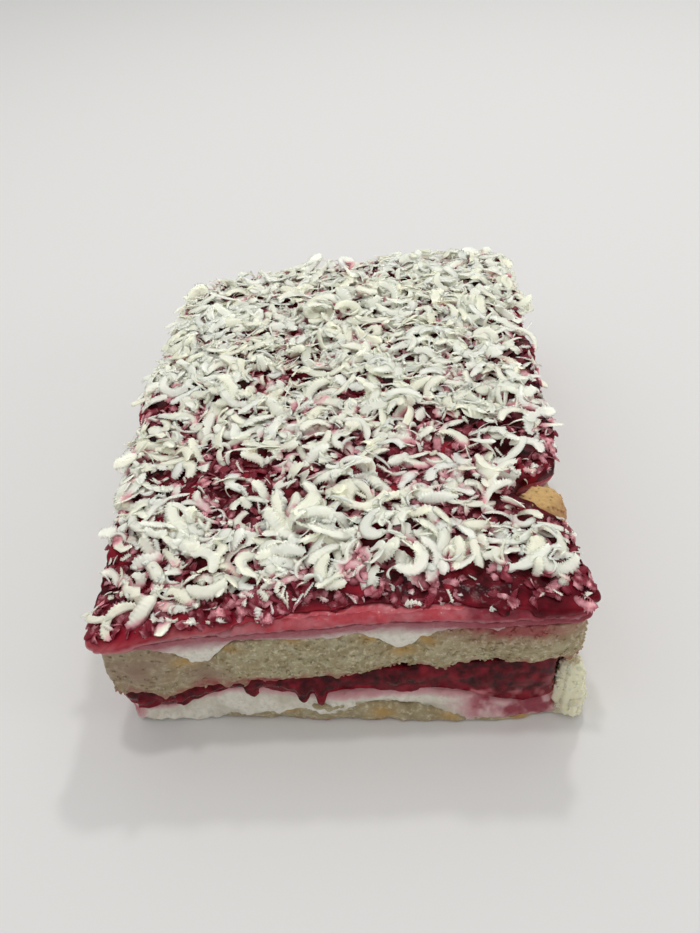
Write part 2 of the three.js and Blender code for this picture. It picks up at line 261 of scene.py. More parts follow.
class Shader:
    """Builds the nodes of one material with short calls."""

    def __init__(self, name: str) -> None:
        """Start a material with a principled surface.

        Args:
            name: Name of the material.
        """
        self.material = bpy.data.materials.new(name)
        self.material.use_nodes = True
        self.tree = self.material.node_tree
        self.tree.nodes.clear()
        self.surface = self.tree.nodes.new("ShaderNodeBsdfPrincipled")
        output = self.tree.nodes.new("ShaderNodeOutputMaterial")
        self.tree.links.new(self.surface.outputs["BSDF"], output.inputs["Surface"])
        self.coords = self.tree.nodes.new("ShaderNodeTexCoord").outputs["Object"]

    def feed(self, socket: Socket, value: Socket | float | Colour) -> None:
        """Link a socket, or set its own value.

        Args:
            socket: The input.
            value: Another node's output, a number or a colour.
        """
        if isinstance(value, Socket):
            self.tree.links.new(value, socket)
        elif isinstance(value, tuple):
            socket.default_value = (*value, 1.0) if socket.type == "RGBA" else value
        else:
            socket.default_value = value

    def attribute(self, name: str) -> Socket:
        """Read a number stored on the mesh.

        Args:
            name: Name of the attribute.

        Returns:
            The number.
        """
        node = self.tree.nodes.new("ShaderNodeAttribute")
        node.attribute_name = name
        return node.outputs["Fac"]

    def noise(self, size: float, detail: float = 2.0, roughness: float = 0.5) -> Socket:
        """Make soft noise.

        Args:
            size: Width of its features, in millimetres.
            detail: Number of finer octaves.
            roughness: Strength of those.

        Returns:
            A value from 0 to 1.
        """
        node = self.tree.nodes.new("ShaderNodeTexNoise")
        self.feed(node.inputs["Vector"], self.coords)
        self.feed(node.inputs["Scale"], 0.6 / (size * MM))
        self.feed(node.inputs["Detail"], detail)
        self.feed(node.inputs["Roughness"], roughness)
        return node.outputs["Fac"]

    def cells(self, size: float, smoothness: float = 0.0) -> Socket:
        """Fill space with uneven cells.

        Args:
            size: Width of a cell, in millimetres.
            smoothness: How far neighbouring cells melt together.

        Returns:
            The distance to the middle of the nearest cell, in cell widths.
        """
        node = self.tree.nodes.new("ShaderNodeTexVoronoi")
        if smoothness > 0.0:
            node.feature = "SMOOTH_F1"
            self.feed(node.inputs["Smoothness"], smoothness)
        self.feed(node.inputs["Vector"], self.coords)
        self.feed(node.inputs["Scale"], 1.0 / (size * MM))
        return node.outputs["Distance"]

    def ease(self, value: Socket, low: float, high: float, first: float = 0.0, last: float = 1.0) -> Socket:
        """Ease from one number to another.

        Args:
            value: What drives it.
            low: The value that gives `first`.
            high: The value that gives `last`.
            first: Result at `low`.
            last: Result at `high`.

        Returns:
            The result.
        """
        node = self.tree.nodes.new("ShaderNodeMapRange")
        node.interpolation_type = "SMOOTHSTEP"
        for name, number in zip(("From Min", "From Max", "To Min", "To Max"), (low, high, first, last)):
            self.feed(node.inputs[name], number)
        self.feed(node.inputs["Value"], value)
        return node.outputs["Result"]

    def mix(self, share: Socket | float, first: Socket | Colour, second: Socket | Colour) -> Socket:
        """Mix two colours.

        Args:
            share: Share of the second colour.
            first: The first colour.
            second: The second colour.

        Returns:
            The mixed colour.
        """
        node = self.tree.nodes.new("ShaderNodeMix")
        node.data_type = "RGBA"
        self.feed(node.inputs[0], share)
        self.feed(node.inputs[6], first)
        self.feed(node.inputs[7], second)
        return node.outputs[2]

    def bump(self, height: Socket, depth: float, under: Socket | None = None) -> Socket:
        """Turn a height into relief.

        Args:
            height: The height, from 0 to 1.
            depth: Depth of the relief, in millimetres.
            under: Relief that this one lies on.

        Returns:
            The bent normal.
        """
        node = self.tree.nodes.new("ShaderNodeBump")
        self.feed(node.inputs["Strength"], 1.0)
        self.feed(node.inputs["Distance"], depth * MM)
        self.feed(node.inputs["Height"], height)
        if under is not None:
            self.feed(node.inputs["Normal"], under)
        return node.outputs["Normal"]

    def finish(self, **values: Socket | float | Colour) -> bpy.types.Material:
        """Set the surface's inputs.

        Args:
            **values: A value for each named input, with underscores for spaces.

        Returns:
            The material.
        """
        for name, value in values.items():
            self.feed(self.surface.inputs[name.replace("_", " ")], value)
        return self.material


@dataclass(frozen=True)
class SpongeFinish:
    """Open crumb, with soaked, browned and berry-stained patches from the attributes of the mesh, painted
    shade in its pores and grain hollows, and painted highlights on its grain tops.
    """

    name: str
    crumb: Colour = (0.38, 0.31, 0.18)
    pale: Colour = (0.50, 0.44, 0.29)
    # Painted shade, laid into the pores and the hollows of the grain.
    shade: Colour = (0.28, 0.21, 0.10)
    # Light crumb tone for pale patches, also laid on the grain tops as a painted highlight.
    fresh_and_highlight: Colour = (0.97, 0.93, 0.70)
    soaked: Colour = (0.32, 0.215, 0.145)
    crust: Colour = (0.56, 0.34, 0.10)
    stain: Colour = (0.34, 0.04, 0.06)

    def material(self) -> bpy.types.Material:
        """Build the material.

        Returns:
            The material.
        """
        s = Shader(self.name)
        coarse, fine = s.noise(2.4, 4.0, 0.6), s.noise(0.9, 3.0, 0.65)
        pores = s.cells(0.9, 0.3)
        tone = s.mix(s.ease(coarse, 0.36, 0.66), self.crumb, self.pale)
        tone = s.mix(s.attribute("pale"), tone, self.fresh_and_highlight)
        # Painted shade: the pits of the pore cells and the open pores that the mesh marks are darkened.
        tone = s.mix(s.ease(pores, 0.22, 0.02, 0.0, 0.08), tone, self.shade)
        tone = s.mix(s.ease(s.attribute("pore"), 0.15, 0.9, 0.0, 0.1), tone, self.shade)
        # Partly grain colour, partly painted light: the noise that bumps the grain darkens its hollows as
        # painted shade and lightens its tops as a painted highlight.
        tone = s.mix(s.ease(fine, 0.46, 0.3, 0.0, 0.2), tone, self.shade)
        tone = s.mix(s.ease(fine, 0.48, 0.72, 0.0, 0.5), tone, self.fresh_and_highlight)
        tone = s.mix(s.attribute("soak"), tone, self.soaked)
        tone = s.mix(s.attribute("crust"), tone, self.crust)
        tone = s.mix(s.attribute("stain"), tone, self.stain)
        relief = s.bump(pores, 0.05)
        relief = s.bump(fine, 0.22, relief)
        return s.finish(
            Base_Color=tone,
            Roughness=s.ease(s.attribute("soak"), 0.0, 1.0, 0.78, 0.42),
            Specular_IOR_Level=0.35,
            Subsurface_Weight=0.4,
            Subsurface_Radius=(1.0, 0.75, 0.45),
            Subsurface_Scale=1.8 * MM,
            Normal=relief,
        )


@dataclass(frozen=True)
class CreamFinish:
    """Moist whipped cream that fades into berry pink where the mesh says it is stained, with painted shade in
    the low parts of its fine relief.
    """

    name: str
    cream: Colour = (0.91, 0.87, 0.77)
    # Mottling tone, also laid into the low parts of the fine relief as painted shade.
    dull_and_shade: Colour = (0.71, 0.67, 0.56)
    blush: Colour = (0.70, 0.40, 0.42)
    stain: Colour = (0.54, 0.10, 0.14)
    deep: Colour = (0.34, 0.055, 0.08)

    def material(self) -> bpy.types.Material:
        """Build the material.

        Returns:
            The material.
        """
        s = Shader(self.name)
        patch, fine = s.noise(5.0, 3.0), s.noise(0.9, 3.0, 0.6)
        tone = s.mix(s.ease(patch, 0.42, 0.68), self.cream, self.dull_and_shade)
        # Painted shade: the low parts of the fine relief, which the same noise bumps, are darkened.
        tone = s.mix(s.ease(fine, 0.52, 0.3, 0.0, 0.8), tone, self.dull_and_shade)
        tint = s.attribute("stain")
        tone = s.mix(s.ease(tint, 0.0, 0.6), tone, self.blush)
        berry = s.mix(s.attribute("deep"), self.stain, self.deep)
        tone = s.mix(s.ease(tint, 0.45, 1.0), tone, berry)
        relief = s.bump(s.noise(2.2, 2.0), 0.9)
        relief = s.bump(fine, 0.5, relief)
        return s.finish(
            Base_Color=tone,
            Roughness=s.ease(fine, 0.3, 0.7, 0.3, 0.55),
            Specular_IOR_Level=0.45,
            Subsurface_Weight=0.3,
            Subsurface_Radius=(1.0, 0.8, 0.6),
            Subsurface_Scale=2.0 * MM,
            Normal=relief,
        )


@dataclass(frozen=True)
class BerryFinish:
    """Wet red fruit: dark where it lies thick, brighter where the mesh says it is thin."""

    name: str
    thick: Colour = (0.038, 0.0015, 0.004)
    fruit: Colour = (0.13, 0.004, 0.012)
    thin: Colour = (0.38, 0.016, 0.034)
    milky: Colour = (0.70, 0.26, 0.28)
    roughness: tuple[float, float] = (0.05, 0.12)
    lump: float = 2.2
    pulp_depth: float = 0.22
    grain: float = 0.02
    shine: float = 0.16

    def material(self) -> bpy.types.Material:
        """Build the material.

        Returns:
            The material.
        """
        s = Shader(self.name)
        pulp, fine = s.noise(self.lump, 4.0, 0.6), s.noise(0.7, 3.0, 0.55)
        tone = s.mix(s.ease(pulp, 0.34, 0.68), self.thick, self.fruit)
        tone = s.mix(s.attribute("thin"), tone, self.thin)
        tone = s.mix(s.attribute("milky"), tone, self.milky)
        relief = s.bump(pulp, self.pulp_depth)
        relief = s.bump(fine, self.grain, relief)
        return s.finish(
            Base_Color=tone,
            Roughness=s.ease(pulp, 0.3, 0.7, *self.roughness),
            Specular_IOR_Level=self.shine,
            Subsurface_Weight=0.06,
            Subsurface_Radius=(1.0, 0.25, 0.2),
            Subsurface_Scale=1.5 * MM,
            Normal=relief,
        )


@dataclass(frozen=True)
class ShavingFinish:
    """White confectionery, from ivory to cool white by its tint, pink where it has soaked up sauce."""

    name: str
    ivory: Colour = (0.92, 0.93, 0.76)
    cool: Colour = (0.91, 0.94, 0.88)
    blush: Colour = (0.80, 0.36, 0.41)
    stain: Colour = (0.21, 0.011, 0.028)

    def material(self) -> bpy.types.Material:
        """Build the material.

        Returns:
            The material.
        """
        s = Shader(self.name)
        s.surface.subsurface_method = "BURLEY"
        fine = s.noise(0.6, 3.0, 0.6)
        tone = s.mix(s.attribute("tint"), self.cool, self.ivory)
        soak = s.attribute("soak")
        tone = s.mix(s.ease(soak, 0.0, 0.6), tone, self.blush)
        tone = s.mix(s.ease(soak, 0.5, 1.0), tone, self.stain)
        return s.finish(
            Base_Color=tone,
            Roughness=s.ease(fine, 0.3, 0.7, 0.36, 0.56),
            Specular_IOR_Level=0.3,
            Subsurface_Weight=0.8,
            Subsurface_Radius=(1.0, 0.95, 0.85),
            Subsurface_Scale=2.2 * MM,
            Normal=s.bump(fine, 0.06),
        )


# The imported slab, read along upright lines round it

def tree_of(layer: Layer) -> BVHTree:
    """Make a packed layer ready for casting rays at it."""
    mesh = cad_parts[layer.value].data
    return BVHTree.FromPolygons([v.co for v in mesh.vertices], [p.vertices for p in mesh.polygons])


def level_at(tree: BVHTree, x: float, y: float, from_below: bool = False) -> float:
    """Find where an upright ray meets a surface.

    Args:
        tree: The surface.
        x: Place across the slab.
        y: Place along the slab.
        from_below: Whether the ray climbs instead of falling.

    Returns:
        The height, or not a number where the ray misses.
    """
    start, way = (BELOW, 1.0) if from_below else (ABOVE, -1.0)
    hit = tree.ray_cast(Vector((x, y, start)) * MM, Vector((0.0, 0.0, way)))[0]
    return math.nan if hit is None else hit.z / MM


def filled(values: Array) -> Array:
    """Bridge missing numbers in a closed ring from the ones on either side."""
    known = np.flatnonzero(np.isfinite(values))
    return np.interp(np.arange(len(values)), known, values[known], period=len(values))


def softened(values: Array, spread: float = 4.0) -> Array:
    """Smooth a closed ring of numbers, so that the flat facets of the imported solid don't show.

    Args:
        values: The ring.
        spread: How many neighbours on each side count.

    Returns:
        The smoothed ring.
    """
    reach = int(3 * spread)
    weight = np.exp(-0.5 * (np.arange(-reach, reach + 1) / spread) ** 2)
    padded = np.concatenate([values[-reach:], values, values[:reach]])
    return np.convolve(padded, weight / weight.sum(), mode="valid")


@dataclass
class SlabColumns:
    """Upright lines round the slab. Each has a start outside it and a way in towards the slab's spine."""

    front_step: float = 0.45
    side_step: float = 0.8
    clearance: float = 12.0
    spine_half: float = 30.0
    plan_height: float = 31.0
    probe: float = 4.0
    start: Array = field(init=False)
    inward: Array = field(init=False)
    plan: Array = field(init=False)
    trees: dict[Layer, BVHTree] = field(init=False)

    def __post_init__(self) -> None:
        """Lay the lines out and find the slab's plan."""
        self.trees = {layer: tree_of(layer) for layer in Layer}
        low, high = (np.array(corner)[:2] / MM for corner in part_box(Layer.BAND.value))
        left, front = low - self.clearance
        right, back = high + self.clearance
        corners = np.array([(left, front), (right, front), (right, back), (left, back)])
        steps = (self.front_step, self.side_step, self.side_step, self.side_step)
        sides = []
        for corner, following, step in zip(corners, np.roll(corners, -1, axis=0), steps):
            side = following - corner
            count = math.ceil(np.linalg.norm(side) / step)
            sides.append(corner + side * (np.arange(count) / count)[:, None])
        self.start = np.concatenate(sides)
        way = self.spine_points() - self.start
        self.inward = way / np.linalg.norm(way, axis=1)[:, None]
        across = self.reach(Layer.SPONGE, np.full(len(self.start), self.plan_height))
        self.plan = self.start + self.inward * across[:, None]

    def spine_points(self) -> Array:
        """The place on the spine that each line leads to."""
        y = np.clip(self.start[:, 1], -self.spine_half, self.spine_half)
        return np.stack([np.zeros_like(y), y], axis=1)

    def edge_line(self) -> Array:
        """The slab's plan as points in space, one for each line."""
        return np.concatenate([self.plan, np.zeros((len(self.plan), 1))], axis=1)

    def reach(self, layer: Layer, heights: Array) -> Array:
        """Find how far in from the start each line meets a layer.

        Args:
            layer: The layer.
            heights: The height of each line's ray.

        Returns:
            Distances along the lines.
        """
        found = []
        for start, way, height in zip(self.start, self.inward, heights):
            hit = self.trees[layer].ray_cast(Vector((*start, height)) * MM, Vector((*way, 0.0)))
            found.append(np.nan if hit[3] is None else hit[3] / MM)
        span = np.linalg.norm(self.spine_points() - self.start, axis=1)
        return span - softened(span - filled(np.array(found)))

    def levels(self, layer: Layer) -> tuple[Array, Array]:
        """Read how high a layer lies just inside its edge.

        Args:
            layer: The layer.

        Returns:
            The heights of its underside and its top, for each line.
        """
        inside = self.plan + self.inward * self.probe
        sides = []
        for from_below in (True, False):
            hits = [level_at(self.trees[layer], *spot, from_below) for spot in inside]
            sides.append(softened(filled(np.array(hits))))
        return sides[0], sides[1]


def ring_faces(rows: int, count: int) -> Array:
    """Join closed rings of points into a wall.

    Args:
        rows: Number of rings.
        count: Number of points in each.

    Returns:
        Four-cornered faces that face out.
    """
    r, i = np.meshgrid(np.arange(rows - 1), np.arange(count), indexing="ij")
    here, after = r * count + i, r * count + (i + 1) % count
    return np.stack([here, after, after + count, here + count], -1).reshape(-1, 4)


def front_of(points: Array) -> Array:
    """How much a place belongs to the cut front: 1 on it, 0 on the other sides."""
    return smooth(-points[..., 1], *FRONT_FADE)


@dataclass
class LayerSkin:
    """A layer's wall and the ledges just inside its edges, closed over the spine above and below."""

    columns: SlabColumns
    layer: Layer
    slot: Slot
    finish: SpongeFinish | CreamFinish | BerryFinish
    name: str
    wall_rows: int
    rounding: float = 0.7
    ledge: tuple[float, ...] = (9.0, 6.0, 4.0, 2.5, 1.3)
    round_steps: int = 3
    fade: float = 1.6
    seed: int = 1

    def edges(self, bottom: Array, top: Array) -> tuple[Array, Array]:
        """Make the lower and upper edges uneven; plain layers keep them."""
        return bottom, top

    def relief(self, points: Array, share: Array, drop: Array) -> Array:
        """How far the wall stands out at each place.

        Args:
            points: Places on the wall.
            share: Share of the way up the layer; not used here.
            drop: Distance below its top; not used here.

        Returns:
            Distances outwards.
        """
        return np.zeros(points.shape[:-1])

    def attributes(self, points: Array, share: Array, drop: Array) -> dict[str, Array]:
        """The numbers that the finish reads, for each place."""
        return {}

    def section(self, bottom: Array, top: Array) -> tuple[Array, Array]:
        """Lay out the rows of the skin.

        Args:
            bottom: Height of the lower edge at each line.
            top: Height of the upper edge at each line.

        Returns:
            How far inside the edge, and how high, each point of each row is.
        """
        radius = np.minimum(self.rounding, 0.42 * (top - bottom))
        turns = np.linspace(0.0, math.pi / 2, self.round_steps + 1)
        turned = [(radius * (1 - math.sin(a)), radius * (1 - math.cos(a))) for a in turns]
        rows = [(radius + inset, bottom) for inset in self.ledge]
        rows += [(inset, bottom + rise) for inset, rise in turned]
        for s in np.linspace(0.0, 1.0, self.wall_rows + 2)[1:-1]:
            rows.append((0.0 * radius, (1 - s) * (bottom + radius) + s * (top - radius)))
        rows += [(inset, top - fall) for inset, fall in turned[::-1]]
        rows += [(radius + inset, top) for inset in self.ledge[::-1]]
        return np.array([r[0] for r in rows]), np.array([r[1] for r in rows])

    def profile(self, bottom: Array, top: Array, height: Array) -> Array:
        """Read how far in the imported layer's edge lies, as a curve through three readings.

        Args:
            bottom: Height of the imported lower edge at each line.
            top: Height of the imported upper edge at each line.
            height: The heights asked for, in rows.

        Returns:
            Distances along the lines.
        """
        marks = (0.08, 0.5, 0.92)
        low, middle, high = (self.columns.reach(self.layer, bottom + m * (top - bottom)) for m in marks)
        t = np.clip((height - bottom) / (top - bottom), 0.0, 1.0)
        a = (t - marks[1]) * (t - marks[2]) / ((marks[0] - marks[1]) * (marks[0] - marks[2]))
        b = (t - marks[0]) * (t - marks[2]) / ((marks[1] - marks[0]) * (marks[1] - marks[2]))
        return a * low + b * middle + (1 - a - b) * high

    def build(self) -> bpy.types.Object:
        """Build, dress and hand over the layer.

        Returns:
            The piece.
        """
        c = self.columns
        packed = c.levels(self.layer)
        bottom, top = self.edges(*packed)
        inset, height = self.section(bottom, top)
        distance = self.profile(*packed, height) + inset
        flat = c.start + c.inward * distance[..., None]
        points = np.concatenate([flat, height[..., None]], axis=-1)
        share = np.clip((height - bottom) / (top - bottom), 0.0, 1.0)
        drop = top - height
        swell = self.relief(points, share, drop) * np.exp(-inset / self.fade)
        points[..., :2] -= c.inward * swell[..., None]
        numbers = self.attributes(points, share, drop)
        mesh = self.closed(points, {k: np.broadcast_to(v, height.shape) for k, v in numbers.items()})
        return dressed(mesh, self.finish.material(), self.layer)

    def closed(self, points: Array, attributes: dict[str, Array]) -> bpy.types.Mesh:
        """Join the rows into a mesh and close both ends on the spine.

        Args:
            points: The rows of points, from the underside to the top.
            attributes: Numbers for each point.

        Returns:
            The mesh.
        """
        rows, count = points.shape[:2]
        ends = [(0.0, y, points[row, :, 2].mean()) for row in (0, -1) for y in (-1.0, 1.0)]
        ends = np.array(ends) * (1.0, self.columns.spine_half, 1.0)
        every = np.concatenate([points.reshape(-1, 3), ends])
        i = np.arange(count)
        j = (i + 1) % count
        front = (self.columns.start[:, 1] < 0.0).astype(int)
        first, last = rows * count, (rows - 1) * count
        faces = [ring_faces(rows, count)]
        for row, centre, flip in ((0, first, True), (last, first + 2, False)):
            near, far = centre + 1 - front[i], centre + 1 - front[j]
            fan = np.stack([row + i, row + j, near], axis=1)
            turn = near != far
            bridge = np.stack([row + j[turn], far[turn], near[turn]], axis=1)
            fan = np.concatenate([fan, bridge])
            faces.append(fan[:, ::-1] if flip else fan)
        mesh = new_mesh(self.name, every, faces)
        for name, values in attributes.items():
            set_attribute(mesh, name, np.concatenate([values.ravel(), np.zeros(4)]))
        return mesh


@dataclass(frozen=True)
class Mark:
    """A place on the cut front, with its half width and half height."""

    x: float
    z: float
    width: float
    height: float

    def at(self, points: Array) -> Array:
        """How strongly each place belongs to the mark, on the front only."""
        across, up = (points[..., 0] - self.x) / self.width, (points[..., 2] - self.z) / self.height
        return np.exp(-(across**2 + up**2)) * front_of(points)


def marked(marks: tuple[Mark, ...], points: Array) -> Array:
    """How strongly each place belongs to several marks together."""
    return sum((mark.at(points) for mark in marks), np.zeros(points.shape[:-1]))


@dataclass
class SpongeSkin(LayerSkin):
    """Open crumb with pores, and with a ragged lower edge from which crumbs hang."""

    ragged: float = 2.1
    top_rise: float = 2.5
    top_grain: Ripple = Ripple(0.8, 2.6, 3, 2)
    lumps: tuple[Ripple, ...] = (Ripple(1.1, 8.0, 2, 2), Ripple(0.8, 3.2, 6, 2))
    grit: Ripple = Ripple(0.12, 1.8, 8, 2)
    crumb_size: float = 1.9
    crumb_depth: float = 0.5
    pore_sizes: tuple[float, float] = (2.6, 1.5)
    pore_depth: float = 0.1
    hanging: tuple[Mark, ...] = ()
    crusts: tuple[Mark, ...] = ()
    stains: tuple[Mark, ...] = ()
    soaks: tuple[Mark, ...] = ()
    pales: tuple[Mark, ...] = ()
    all_soak: float = 0.0

    def edges(self, bottom: Array, top: Array) -> tuple[Array, Array]:
        """Let crumbs of several sizes hang from the lower edge.

        Args:
            bottom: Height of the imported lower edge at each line.
            top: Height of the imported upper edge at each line.

        Returns:
            The uneven lower and upper edges.
        """
        c = self.columns
        line = c.edge_line()
        tufts = np.maximum(noise(line, 4.2, self.seed), -0.4)
        tufts = tufts + 0.8 * np.maximum(noise(line, 1.9, self.seed + 1), -0.3)
        low = bottom - self.ragged * (0.7 * tufts - 0.1)
        for mark in self.hanging:
            away = np.abs(c.plan[:, 0] - mark.x) / mark.width
            low = low - mark.height * np.clip(1.0 - away, 0.0, 1.0) ** 0.7 * front_of(c.plan)
        high = np.minimum(top, np.median(top) + self.top_rise)
        return low, high + self.top_grain.at(line, self.seed)

    def open_pores(self, points: Array) -> Array:
        """Find the pores.

        Args:
            points: Places on the wall.

        Returns:
            How deep in a pore each place is, from 0 to 1.
        """
        large_size, small_size = self.pore_sizes
        away, value = cells(points, large_size, self.seed + 7)
        small, small_value = cells(points, small_size, self.seed + 13)
        large = smooth(away, 0.5, 0.1) * smooth(value, 0.6, 0.85)
        return np.maximum(large, 0.8 * smooth(small, 0.5, 0.12) * smooth(small_value, 0.4, 0.7))

    def soaked(self, points: Array) -> Array:
        """How wet each place is, from 0 to 1."""
        wet = self.all_soak + marked(self.soaks, points)
        return np.clip(wet * (0.8 + 0.5 * fractal(points, 6.0, self.seed + 21)), 0.0, 1.0)

    def relief(self, points: Array, share: Array, drop: Array) -> Array:
        """Lumps, crumbs and pores, gentler where the crumb is wet.

        Args:
            points: Places on the wall.
            share: Share of the way up the layer; not used.
            drop: Distance below its top; not used.

        Returns:
            Distances outwards.
        """
        lumps = rippled(self.lumps, points, self.seed)
        grain, value = cells(points, self.crumb_size, self.seed + 5)
        crumbs = self.crumb_depth * (0.5 - grain) * (0.4 + value) + self.grit.at(points, self.seed)
        dry = 1.0 - 0.5 * self.soaked(points)
        return lumps + dry * (crumbs - self.pore_depth * self.open_pores(points))

    def attributes(self, points: Array, share: Array, drop: Array) -> dict[str, Array]:
        """Pores, which the finish darkens as painted shade, wet patches, browned patches and berry stains.

        Args:
            points: Places on the wall.
            share: Share of the way up the layer.
            drop: Distance below its top.

        Returns:
            The numbers that the finish and the loose crumbs read.
        """
        blotch = 0.75 + 0.5 * fractal(points, 3.0, self.seed + 31)
        seep = 0.5 * smooth(share + 0.1 * noise(points, 2.2, self.seed + 33), 0.16, 0.0)
        soak = self.soaked(points)
        inner = smooth(share, 0.0, 0.04) * smooth(drop, 0.3, 1.0)
        return {
            "pore": self.open_pores(points),
            "soak": soak,
            "crust": np.clip(marked(self.crusts, points) * blotch, 0.0, 0.9),
            "stain": np.clip(marked(self.stains, points) * blotch + seep, 0.0, 0.85),
            "pale": np.clip(marked(self.pales, points), 0.0, 1.0),
            "crumbly": inner * (0.35 + 0.65 * front_of(points)) * (1.0 - 0.85 * soak),
        }


SPREAD_DABS = (Ripple(0.6, 6.0, 2, 3), Ripple(0.7, 1.9, 9, 2))


@dataclass
class CreamSkin(LayerSkin):
    """Soft cream, pink along its top."""

    blush_depth: tuple[float, float] = (3.0, 0.0)
    blush: float = 0.6
    uneven: float = 1.0
    overlap: float = 0.25
    tears: Ripple = Ripple(1.1, 2.4, 19, 2)
    lowest: float = 0.6
    foot: float = 2.2
    lip: float = 0.0
    lip_depth: tuple[float, float] = (3.6, 0.4)
    stains: tuple[Mark, ...] = ()
    sags: tuple[Mark, ...] = ()

    def edges(self, bottom: Array, top: Array) -> tuple[Array, Array]:
        """Close up to the neighbours unevenly, and sag where the layer below is hidden.

        Args:
            bottom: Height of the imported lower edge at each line.
            top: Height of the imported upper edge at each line.

        Returns:
            The uneven lower and upper edges.
        """
        c = self.columns
        line = c.edge_line()
        low = bottom - self.overlap - self.uneven * np.maximum(fractal(line, 4.5, self.seed + 17), -0.35)
        low = low - self.tears.at(line, self.seed)
        for mark in self.sags:
            low = low - mark.height * hump(c.plan[:, 0] - mark.x, mark.width) * front_of(c.plan)
        return np.maximum(low, self.lowest), top + 0.15

    def relief(self, points: Array, share: Array, drop: Array) -> Array:
        """Soft dabs, a fuller foot where the cream sags and a lip that meets the layer above.

        Args:
            points: Places on the wall.
            share: Share of the way up the layer.
            drop: Distance below its top.

        Returns:
            Distances outwards.
        """
        beside = [hump(points[..., 0] - mark.x, mark.width) for mark in self.sags]
        full = np.clip(sum(beside, np.zeros(points.shape[:-1])), 0.0, 1.0)
        foot = self.foot * full * smooth(share, 0.7, 0.1) * front_of(points)
        lip = self.lip * smooth(drop, *self.lip_depth) * front_of(points)
        return foot + lip + rippled(SPREAD_DABS, points, self.seed)

    def attributes(self, points: Array, share: Array, drop: Array) -> dict[str, Array]:
        """The pink along the top, and berry smears.

        Args:
            points: Places on the wall.
            share: Share of the way up the layer; not used.
            drop: Distance below its top.

        Returns:
            The numbers that the finish reads.
        """
        waver = drop + 1.2 * fractal(points, 5.0, self.seed + 11)
        stain = self.blush * smooth(waver, *self.blush_depth)
        blotch = 0.85 + 1.1 * fractal(points, 4.0, self.seed + 15)
        for mark in self.stains:
            stain = np.maximum(stain, mark.at(points) * blotch)
        return {"stain": np.clip(stain, 0.0, 1.0), "deep": self.deepness(points)}

    @staticmethod
    def deepness(points: Array) -> Array:
        """Where the berry stain is dark rather than coral: towards both ends of the front."""
        x = points[..., 0] + 5.0 * fractal(points, 12.0, 77)
        return np.maximum(smooth(x, 34.0, 48.0), 0.2 * smooth(x, -34.0, -52.0))


@dataclass
class FillingSkin(LayerSkin):
    """Lumpy wet fruit with drips that run down over the cream."""

    overlap: float = 1.1
    uneven: float = 1.1
    fruit_size: float = 4.2
    fruit_depth: float = 0.9
    pulp: Ripple = Ripple(0.35, 2.2, 8)
    hem_depth: float = 0.5
    drip_depth: float = 1.9
    drips: tuple[Mark, ...] = ()
    smears: tuple[Mark, ...] = ()

    def edges(self, bottom: Array, top: Array) -> tuple[Array, Array]:
        """Make the lower edge uneven, with drips.

        Args:
            bottom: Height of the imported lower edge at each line.
            top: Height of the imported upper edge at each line.

        Returns:
            The uneven lower and upper edges.
        """
        c = self.columns
        low = bottom - self.overlap - self.uneven * np.maximum(fractal(c.edge_line(), 5.0, self.seed), -0.3)
        for mark in self.drips:
            low = low - mark.height * self.drip(mark, c.plan)
        return low, top + 0.5

    @staticmethod
    def drip(mark: Mark, points: Array) -> Array:
        """The outline of a drip along the front, wide above and round at its tip."""
        away = np.abs(points[..., 0] - mark.x) / mark.width
        return hump(away, 0.62) * smooth(away, 1.2, 0.7) * front_of(points)

    def relief(self, points: Array, share: Array, drop: Array) -> Array:
        """Fruit lumps, and drips that stand in front of the cream.

        Args:
            points: Places on the wall.
            share: Share of the way up the layer.
            drop: Distance below its top; not used.

        Returns:
            Distances outwards.
        """
        away, value = cells(points, self.fruit_size, self.seed + 3)
        lumps = self.fruit_depth * (0.6 - away) * (0.4 + value) + self.pulp.at(points, self.seed)
        forward = sum((self.drip(mark, points) for mark in self.drips), np.zeros(points.shape[:-1]))
        hem = smooth(share, 0.3, 0.0)
        drips = self.drip_depth * np.clip(1.6 * forward, 0.0, 1.0) * smooth(share, 0.75, 0.3)
        return lumps + self.hem_depth * hem + drips

    def attributes(self, points: Array, share: Array, drop: Array) -> dict[str, Array]:
        """Bright thin edges and smears of cream.

        Args:
            points: Places on the wall.
            share: Share of the way up the layer.
            drop: Distance below its top; not used.

        Returns:
            The numbers that the finish reads.
        """
        thin = 0.35 * smooth(share + 0.3 * noise(points, 3.0, self.seed + 12), 0.4, 0.0)
        thin = thin + 0.55 * smooth(fractal(points, 4.5, self.seed + 18), 0.05, 0.5)
        blotch = np.clip(0.3 + 1.8 * fractal(points, 3.6, self.seed + 14), 0.0, 1.0)
        milky = marked(self.smears, points)
        return {"thin": np.clip(thin, 0.0, 1.0), "milky": np.clip(milky * blotch, 0.0, 0.8)}


